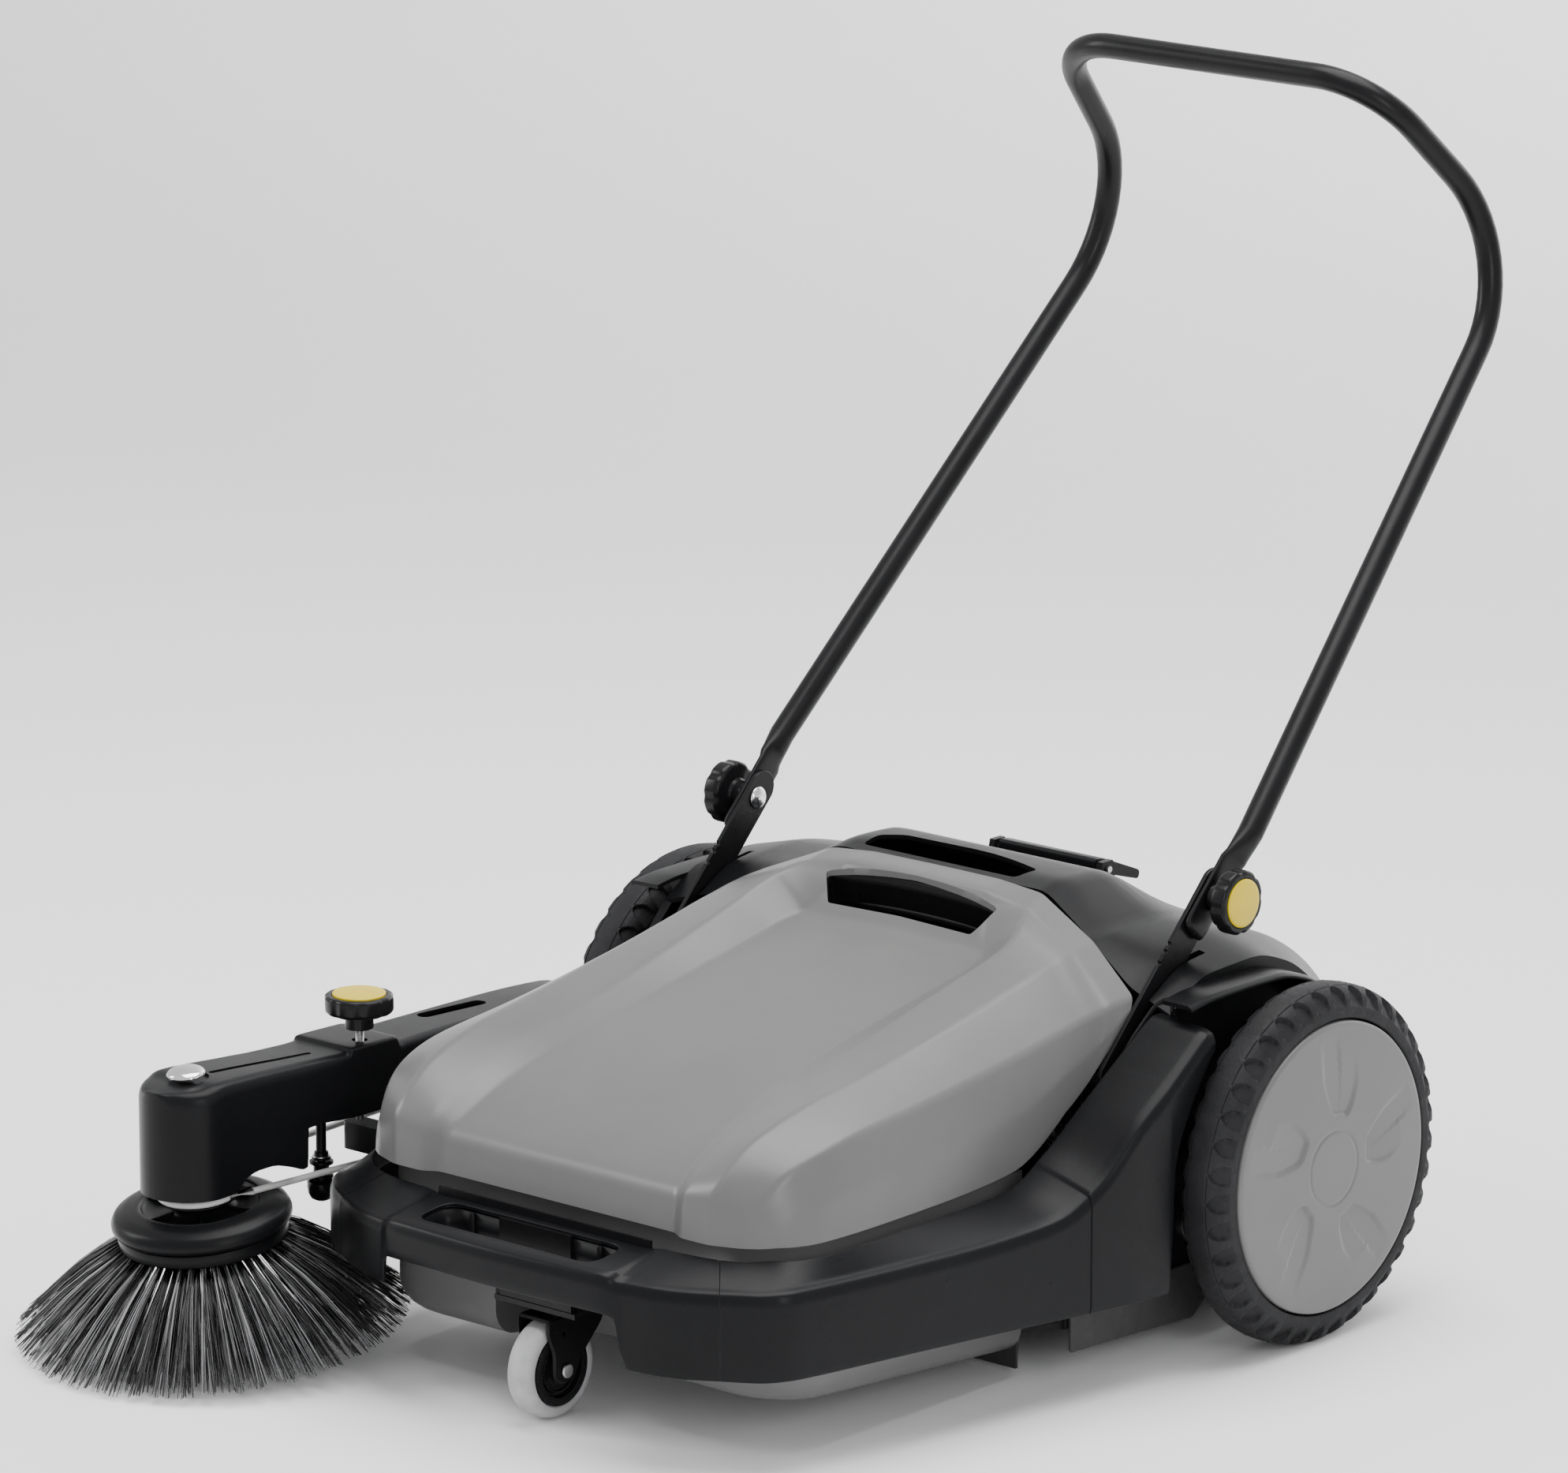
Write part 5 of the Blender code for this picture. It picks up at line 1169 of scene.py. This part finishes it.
def make_side_brush():
    ring = soft_profile([(0.0500, 0.0780), (0.0725, 0.0780), (0.0732, 0.0840), (0.0725, 0.0893),
                         (0.0500, 0.0893)], 0.0012, 3, closed=True)
    piece("bristle_plate", on_brush(turned("Z", (0, 0, 0), ring, 96, closed=True)), "black_plastic",
          "side_brush", ["brush_ring"])
    head = soft_profile([(0.0074, 0.0900), (0.0700, 0.0900), (0.0758, 0.0915), (0.0776, 0.0945),
                         (0.0776, 0.0985), (0.0745, 0.1045), (0.0660, 0.1088), (0.0560, 0.1108),
                         (0.0520, 0.1108), (0.0490, 0.1060), (0.0400, 0.1040), (0.0300, 0.1050),
                         (0.0240, 0.1108), (0.0074, 0.1112)], 0.0030, 4, closed=True)
    piece("brush_dish", on_brush(turned("Z", (0, 0, 0), head, 128, closed=True)), "black_plastic",
          "side_brush", ["brush_head"])
    for index in range(6):
        angle = math.radians(60 * index + 15)
        rib = prism(((0.0245, -0.0010), (0.0500, -0.0010), (0.0500, 0.0010), (0.0245, 0.0010)), "Z",
                    0.1038, 0.1085, chamfer=0.0003)
        rib.transform(Matrix.Rotation(angle, 4, "Z"))
        piece("brush_rib_" + str(index), on_brush(rib), "black_plastic", "side_brush")
    pulley = soft_profile(pulley_rows(0.0074, BRUSH_PULLEY_RADIUS, BRUSH_PULLEY_Z), 0.0005, 2, closed=True)
    piece("brush_sheave", on_brush(turned("Z", (0, 0, 0), pulley, 96, closed=True)), "black_smooth",
          "side_brush", ["brush_pulley"])
    pulley = soft_profile(pulley_rows(0.0104, DRIVE_PULLEY_RADIUS, DRIVE_BELT_X), 0.0005, 2, closed=True)
    piece("wheel_sheave", turned("X", (0, 0, WHEEL_Z), pulley, 96, closed=True), "black_smooth",
          "right_wheel", ["drive_pulley"])
    make_brush_bristles()
    make_belt()


def pulley_rows(bore, radius, middle):
    groove = radius - BELT_RADIUS - 0.0009
    rows = ((bore, -0.0065), (radius - 0.0015, -0.0065), (radius - 0.0015, -0.0048), (groove, -0.0030),
            (groove, 0.0030), (radius - 0.0015, 0.0048), (radius - 0.0015, 0.0060), (bore, 0.0060))
    return [(r, middle + x) for r, x in rows]


def make_belt():
    place = brush_place()
    path = []
    arc = 28
    for step in range(arc + 1):
        angle = -math.pi * step / arc
        path.append(place @ Vector((BRUSH_PULLEY_RADIUS * math.cos(angle),
                                    BRUSH_PULLEY_RADIUS * math.sin(angle), BRUSH_PULLEY_Z)))
    for step in range(arc + 1):
        angle = math.pi / 2 - math.pi * step / arc
        path.append(Vector((DRIVE_BELT_X, DRIVE_PULLEY_RADIUS * math.cos(angle),
                            WHEEL_Z + DRIVE_PULLEY_RADIUS * math.sin(angle))))
    first = path[0]
    path = denser(path + [first], 0.03)[:-1]
    size = BELT_RADIUS * 0.97
    piece("belt_cord", swept(path, (size, size), 16, closed=True), "white_belt", "side_brush_carrier",
          ["drive_belt"], 0.9)


def arm_rows():
    """Sections of the arm cover: y, middle x, half width, bottom z, top z, shoulder size."""
    head_x, head_y, head_radius = -0.344, -0.654, 0.042
    rows = []
    for angle in (89.5, 83, 74, 63, 50, 36, 18):
        drop = math.radians(angle)
        rows.append((head_y - head_radius * math.sin(drop), head_x, head_radius * math.cos(drop),
                     0.1465, 0.2440 - 0.0040 * math.sin(drop), 0.010))
    rows += [
        (-0.654, -0.3440, 0.0420, 0.1470, 0.2455, 0.009),
        (-0.640, -0.3425, 0.0412, 0.1480, 0.2460, 0.009),
        (-0.630, -0.3410, 0.0405, 0.1580, 0.2460, 0.009),
        (-0.615, -0.3384, 0.0393, 0.1625, 0.2460, 0.009),
        (-0.600, -0.3360, 0.0382, 0.1630, 0.2458, 0.009),
        (-0.580, -0.3332, 0.0370, 0.1580, 0.2455, 0.009),
        (-0.566, -0.3310, 0.0363, 0.1530, 0.2452, 0.009),
        (-0.5605, -0.3304, 0.0361, 0.1545, 0.2452, 0.009),
        (-0.5590, -0.3302, 0.0360, 0.1880, 0.2452, 0.009),
        (-0.540, -0.3276, 0.0354, 0.1890, 0.2450, 0.008),
        (-0.524, -0.3252, 0.0348, 0.1880, 0.2450, 0.007),
        (-0.512, -0.3246, 0.0347, 0.1875, 0.2452, 0.006),
        (-0.508, -0.3242, 0.0346, 0.1870, 0.2480, 0.003),
        (-0.503, -0.3240, 0.0345, 0.1870, 0.2484, 0.003),
        (-0.458, -0.3226, 0.0338, 0.1870, 0.2478, 0.003),
        (-0.453, -0.3224, 0.0336, 0.1870, 0.2472, 0.004),
        (-0.449, -0.3222, 0.0332, 0.1870, 0.2412, 0.006),
        (-0.400, -0.3215, 0.0322, 0.1880, 0.2410, 0.007),
        (-0.340, -0.3208, 0.0316, 0.1890, 0.2406, 0.007),
        (-0.280, -0.3200, 0.0310, 0.1900, 0.2400, 0.007),
        (-0.215, -0.3186, 0.0296, 0.1945, 0.2372, 0.007),
        (-0.203, -0.3182, 0.0280, 0.1955, 0.2350, 0.007),
        (-0.200, -0.3180, 0.0230, 0.1960, 0.2300, 0.006),
    ]
    return rows


def arm_section(row):
    y, middle, half, low, high, shoulder = row
    edge = min(shoulder, half * 0.5)
    line = [(middle - half, y, low), (middle - half, y, high - edge),
            (middle - half + edge * 0.3, y, high - edge * 0.3), (middle - half + edge, y, high),
            (middle + half - edge, y, high), (middle + half - edge * 0.3, y, high - edge * 0.3),
            (middle + half, y, high - edge), (middle + half, y, low)]
    return rounded(line, 0.004, 3, closed=False)


def capsule(start, end, radius, low, high, steps=8):
    """Upright slot-shaped cutter between two points of the ground plane."""
    along = Vector((end[0] - start[0], end[1] - start[1], 0.0))
    turn = math.atan2(along.y, along.x)
    ring = []
    for centre, first in ((end, -math.pi / 2), (start, math.pi / 2)):
        for step in range(steps + 1):
            angle = turn + first + math.pi * step / steps
            ring.append((centre[0] + radius * math.cos(angle), centre[1] + radius * math.sin(angle)))
    return lofted([[(x, y, level) for x, y in ring] for level in (low, high)])


def make_arm():
    body = "side_brush_carrier"
    rings = [arm_section(row) for row in smoothed(arm_rows(), 3)]
    first, last = rings[0], rings[-1]
    rings.insert(0, [Vector((-0.344, p.y, p.z)) for p in first])
    rings.append([Vector((-0.318, p.y, p.z)) for p in last])
    cover = make_object("arm_cover", lofted(rings, wrap_points=False, caps=False), 0.5)
    weld_ends(cover)
    shell(cover, 0.0030, even=False)
    bar = rounded([(-0.215, 0.235, 0), (-0.215, 0.200, 0), (-0.060, 0.158, 0), (-0.012, 0.139, 0),
                   (0.010, 0.139, 0), (0.020, 0.150, 0), (0.020, 0.166, 0), (0.010, 0.177, 0),
                   (-0.050, 0.192, 0)], 0.008, 4)
    bar = prism([(p.x, p.y) for p in bar], "X", -0.2962, -0.2890, chamfer=0.0006)
    bush_low, bush_high = -0.2968, -0.2886
    bar_piece = make_object("arm_bar", bar, 0.6)
    cut(bar_piece, round_cutter("X", (0, 0, WHEEL_Z), 0.0104, -0.31, -0.28, 48))
    dress(bar_piece, "black_plastic", body)
    ring = turned("X", (0, 0, WHEEL_Z), [(0.0108, bush_low), (0.0160, bush_low), (0.0160, bush_high),
                                         (0.0108, bush_high)], 48, closed=True)
    piece("arm_bar_bush", ring, "black_smooth", body)
    top = placed_top(0.2262)
    tools = [round_cutter("Z", (SPINDLE.x, SPINDLE.y, 0), 0.0070, 0.23, 0.28, 32),
             capsule((-0.3370, -0.632), (-0.3170, -0.536), 0.0030, 0.2440, 0.30),
             capsule((-0.3330, -0.372), (-0.3260, -0.312), 0.0072, 0.2300, 0.30),
             round_cutter("Z", (top.x, top.y, 0), 0.0195, 0.2438, 0.28, 48)]
    cut(cover, *tools)
    bevel(cover, 0.0008, 2, 0.9)
    dress(cover, "black_plastic", body, ["side_brush_arm"])
    dome = [(0.0001, 0.2262), (0.0165, 0.2262), (0.0166, 0.2275)]
    dome += [(0.0162 * math.cos(math.pi / 2 * s / 8), 0.2275 + 0.0050 * math.sin(math.pi / 2 * s / 8))
             for s in range(8)]
    dome.append((0.0001, 0.2325))
    piece("brush_dome", on_brush(turned("Z", (0, 0, 0), dome, 64)), "chrome_steel", body, ["arm_dome_cap"])
    guide = soft_profile([(0.0040, 0.1300), (0.0105, 0.1300), (0.0105, 0.1325), (0.0070, 0.1345),
                          (0.0070, 0.1405), (0.0105, 0.1425), (0.0105, 0.1450), (0.0040, 0.1450)], 0.0005, 2,
                         closed=True)
    piece("idler_sheave", turned("Z", (IDLER.x, IDLER.y, 0), guide, 64, closed=True), "black_smooth",
          "belt_idler", ["idler_pulley"])
    pin = soft_profile([(0.0, 0.1240), (0.0030, 0.1242), (0.0066, 0.1258), (0.0070, 0.1295), (0.0036, 0.1297),
                        (0.0036, 0.1462), (0.0085, 0.1464), (0.0085, 0.1480), (0.0062, 0.1482),
                        (0.0062, 0.1530), (0.0045, 0.1534), (0.0045, 0.2395), (0.0, 0.2395)], 0.0003, 2)
    piece("idler_screw", turned("Z", (IDLER.x, IDLER.y, 0), pin, 40), "black_paint", body, ["idler_pin"])
    washer = soft_profile([(0.0047, 0.1484), (0.0078, 0.1484), (0.0078, 0.1496), (0.0047, 0.1496)], 0.0003, 2,
                          closed=True)
    piece("idler_washer", turned("Z", (IDLER.x, IDLER.y, 0), washer, 40, closed=True), "bright_steel", body)
    cup = [(0.0001, 0.1090), (0.0050, 0.1095), (0.0095, 0.1120), (0.0118, 0.1165), (0.0126, 0.1225),
           (0.0124, 0.1262), (0.0108, 0.1264), (0.0104, 0.1225), (0.0085, 0.1160), (0.0001, 0.1125)]
    piece("idler_cup", turned("Z", (IDLER.x, IDLER.y, 0), cup, 48), "black_smooth", body)


def placed_top(height):
    return brush_place() @ Vector((0.0, 0.0, height))


def weld_ends(made):
    """Weld the points that meet at a closed-off end."""
    bm = bmesh.new()
    bm.from_mesh(made.data)
    bmesh.ops.remove_doubles(bm, verts=bm.verts, dist=0.0001)
    bmesh.ops.dissolve_degenerate(bm, edges=bm.edges, dist=0.00005)
    bmesh.ops.recalc_face_normals(bm, faces=bm.faces)
    bm.to_mesh(made.data)
    bm.free()


# ---------------------------------------------------------------- caster, lever and hidden parts

def make_caster():
    fork_body, wheel_body = "caster_swivel_fork", "caster_wheel"
    leg = 0.0180
    outline = rounded([(SWIVEL.y - 0.048, 0.0916, 0), (SWIVEL.y + 0.022, 0.0916, 0),
                       (SWIVEL.y + 0.022, 0.0800, 0), (SWIVEL.y - 0.008, 0.0480, 0),
                       (SWIVEL.y - 0.014, 0.0350, 0), (CASTER.y, 0.0300, 0), (SWIVEL.y - 0.040, 0.0370, 0),
                       (SWIVEL.y - 0.040, 0.0600, 0), (SWIVEL.y - 0.048, 0.0780, 0)], 0.007, 5)
    plate = prism([(p.x, p.y) for p in outline], "X", -leg, leg, chamfer=0.0020)
    fork = make_object("fork_plate", plate, 0.6)
    inside = leg - 0.0026
    room = rounded_block((-inside, SWIVEL.y - 0.09, 0.0), (inside, SWIVEL.y + 0.06, 0.0890), 0.002)
    bore = round_cutter("X", (0, CASTER.y, CASTER.z), 0.0042, -0.03, 0.03, 24)
    hole = round_cutter("X", (0, SWIVEL.y - 0.028, 0.0765), 0.0024, -0.03, 0.03, 20)
    cut(fork, room, bore, hole)
    bevel(fork, 0.0006, 2, 1.0)
    dress(fork, "black_paint", fork_body, ["caster_fork"])
    axle = soft_profile([(0, -leg - 0.0030), (0.0060, -leg - 0.0030), (0.0065, -leg - 0.0004),
                         (0.0038, -leg - 0.0004), (0.0038, leg + 0.0004), (0.0065, leg + 0.0004),
                         (0.0060, leg + 0.0030), (0, leg + 0.0030)], 0.0010)
    piece("caster_rivet", turned("X", (0, CASTER.y, CASTER.z), axle, 40), "bright_steel", fork_body,
          ["caster_axle"])
    half = 0.0130
    tread = soft_profile([(0.0318, -half), (0.0375, -half), (0.0410, -half + 0.0020),
                          (CASTER_RADIUS, -half + 0.0075), (CASTER_RADIUS, half - 0.0075),
                          (0.0410, half - 0.0020), (0.0375, half), (0.0318, half)], 0.0035, 4, closed=True)
    piece("caster_band", turned("X", (0, CASTER.y, CASTER.z), tread, 96, closed=True), "caster_tread",
          wheel_body, ["caster_tyre"])
    hub = soft_profile([(0.0042, -half - 0.0012), (0.0100, -half - 0.0012), (0.0110, -half + 0.004),
                        (0.0185, -half + 0.0045), (0.0192, -half + 0.0018), (0.0205, -half + 0.0018),
                        (0.0212, -half + 0.0045), (0.0235, -half + 0.0040), (0.0245, -half - 0.0008),
                        (0.0314, -half - 0.0008), (0.0314, half + 0.0008), (0.0245, half + 0.0008),
                        (0.0235, half - 0.0040), (0.0212, half - 0.0045), (0.0205, half - 0.0018),
                        (0.0192, half - 0.0018), (0.0185, half - 0.0045), (0.0110, half - 0.004),
                        (0.0100, half + 0.0012), (0.0042, half + 0.0012)], 0.0006, 2, closed=True)
    piece("caster_core", turned("X", (0, CASTER.y, CASTER.z), hub, 96, closed=True), "black_smooth",
          wheel_body, ["caster_hub"])


def make_lever():
    pin_y, pin_z = 0.078, 0.350
    paddle = [(pin_y - 0.007, pin_z - 0.006, 0), (pin_y + 0.006, pin_z - 0.007, 0), (0.134, 0.328, 0),
              (0.136, 0.336, 0), (pin_y + 0.007, pin_z + 0.007, 0), (pin_y - 0.007, pin_z + 0.009, 0)]
    outline = [(p.x, p.y) for p in rounded(paddle, 0.004, 4)]
    lever = make_object("lever_paddle", prism(outline, "X", -0.0545, 0.0545, chamfer=0.0012), 0.6)
    bore = round_cutter("X", (0, pin_y, pin_z), 0.0034, -0.06, 0.06, 24)
    cut(lever, bore)
    dress(lever, "black_plastic", "floor_lever", ["height_lever"])
    for index in range(6):
        y = 0.098 + 0.0058 * index
        z = pin_z + 0.006 - (y - pin_y - 0.007) * 0.392
        rib = swept([Vector((-0.046, y, z)), Vector((0.046, y, z))], (0.0009, 0.0009), 8)
        piece("lever_rib_" + str(index), rib, "black_plastic", "floor_lever")


def finish_hidden_parts():
    """Give the solids that stay as they are their own detailed materials."""
    looks = {"steel": "bright_steel", "stub": "bright_steel", "bush": "bright_steel", "shaft": "bright_steel",
             "bearing": "bright_steel", "pin": "bright_steel", "gear": "black_plastic",
             "pinion": "black_plastic", "core": "black_plastic", "bracket": "black_plastic",
             "mount": "black_paint"}
    for name, node in frame["nodes"].items():
        look = next((looks[word] for word in name.split("_")[::-1] if word in looks), "black_plastic")
        node.data.materials.clear()
        node.data.materials.append(MATERIALS[look])


# ---------------------------------------------------------------- studio

def stage_material():
    made, tree, shader = new_material("pale_floor")
    fine = texture(tree, "ShaderNodeTexNoise", 3.0, Detail=4.0)
    tree.links.new(tint(tree, fine.outputs["Fac"], (0.92, 0.92, 0.92), (0.94, 0.94, 0.94)),
                   shader.inputs["Base Color"])
    shader.inputs["Roughness"].default_value = 0.8
    shader.inputs["Specular IOR Level"].default_value = 0.2
    return made


def make_studio():
    bm = bmesh.new()
    rows = []
    for x in (-14.0, 14.0):
        row = [(x, -12.0, 0.0), (x, 7.0, 0.0)]
        row += [(x, 7.0 + 3.0 * math.sin(a * math.pi / 24), 3.0 - 3.0 * math.cos(a * math.pi / 24))
                for a in range(1, 13)]
        row.append((x, 10.0, 14.0))
        rows.append([bm.verts.new(point) for point in row])
    for a, b, c, d in zip(rows[0], rows[0][1:], rows[1][1:], rows[1]):
        bm.faces.new((d, c, b, a))
    mesh = bpy.data.meshes.new("studio_floor")
    bm.to_mesh(mesh)
    bm.free()
    mesh.shade_smooth()
    mesh.materials.append(stage_material())
    linked("studio_floor", mesh)

    world = bpy.data.worlds.new("studio")
    world.use_nodes = True
    background = world.node_tree.nodes["Background"]
    background.inputs["Color"].default_value = (1.0, 1.0, 1.0, 1.0)
    background.inputs["Strength"].default_value = 0.90
    bpy.context.scene.world = world

    for name, spot, aim, size, power in (
            ("top_soft", (0.2, 0.3, 3.6), (0.0, 0.0, 0.2), (3.0, 3.0), 190.0),
            ("left_strip", (-3.0, -1.8, 1.9), (0.0, -0.2, 0.3), (0.7, 1.8), 48.0),
            ("right_fill", (3.4, -1.6, 1.6), (0.2, 0.0, 0.3), (0.6, 1.6), 26.0),
            ("back_wash", (0.0, 5.2, 5.6), (-0.8, 9.6, 3.6), (7.0, 1.6), 900.0)):
        lamp = bpy.data.lights.new(name, "AREA")
        lamp.shape = "RECTANGLE"
        lamp.size, lamp.size_y = size
        lamp.energy = power
        made = linked(name, lamp)
        made.location = Vector(spot)
        made.rotation_euler = (Vector(aim) - Vector(spot)).to_track_quat("-Z", "Y").to_euler()


def make_camera():
    """The photo's viewpoint: azimuth and elevation in radians, lens in millimetres."""
    azimuth, elevation = 0.7124, 0.2477
    back = Vector((math.sin(azimuth) * math.cos(elevation), -math.cos(azimuth) * math.cos(elevation),
                   math.sin(elevation)))
    right = Vector((math.cos(azimuth), math.sin(azimuth), 0.0))
    up = back.cross(right)
    data = bpy.data.cameras.new("camera")
    data.sensor_width = 36.0
    data.lens = 209.4
    data.clip_end = 60.0
    camera = linked("camera", data)
    turn = Matrix((right, up, back)).transposed().to_4x4()
    camera.matrix_world = Matrix.Translation(Vector((4.881, -5.932, 2.416)) + LAYOUT) @ turn
    bpy.context.scene.camera = camera


def main():
    make_bumper()
    make_side_panels()
    make_rear_housing()
    make_seals()
    make_lid()
    make_tub()
    make_handle()
    make_straps()
    make_knobs()
    make_wheels()
    make_roller_bristles()
    make_side_brush()
    make_arm()
    make_caster()
    make_lever()
    finish_hidden_parts()
    make_studio()
    make_camera()


main()
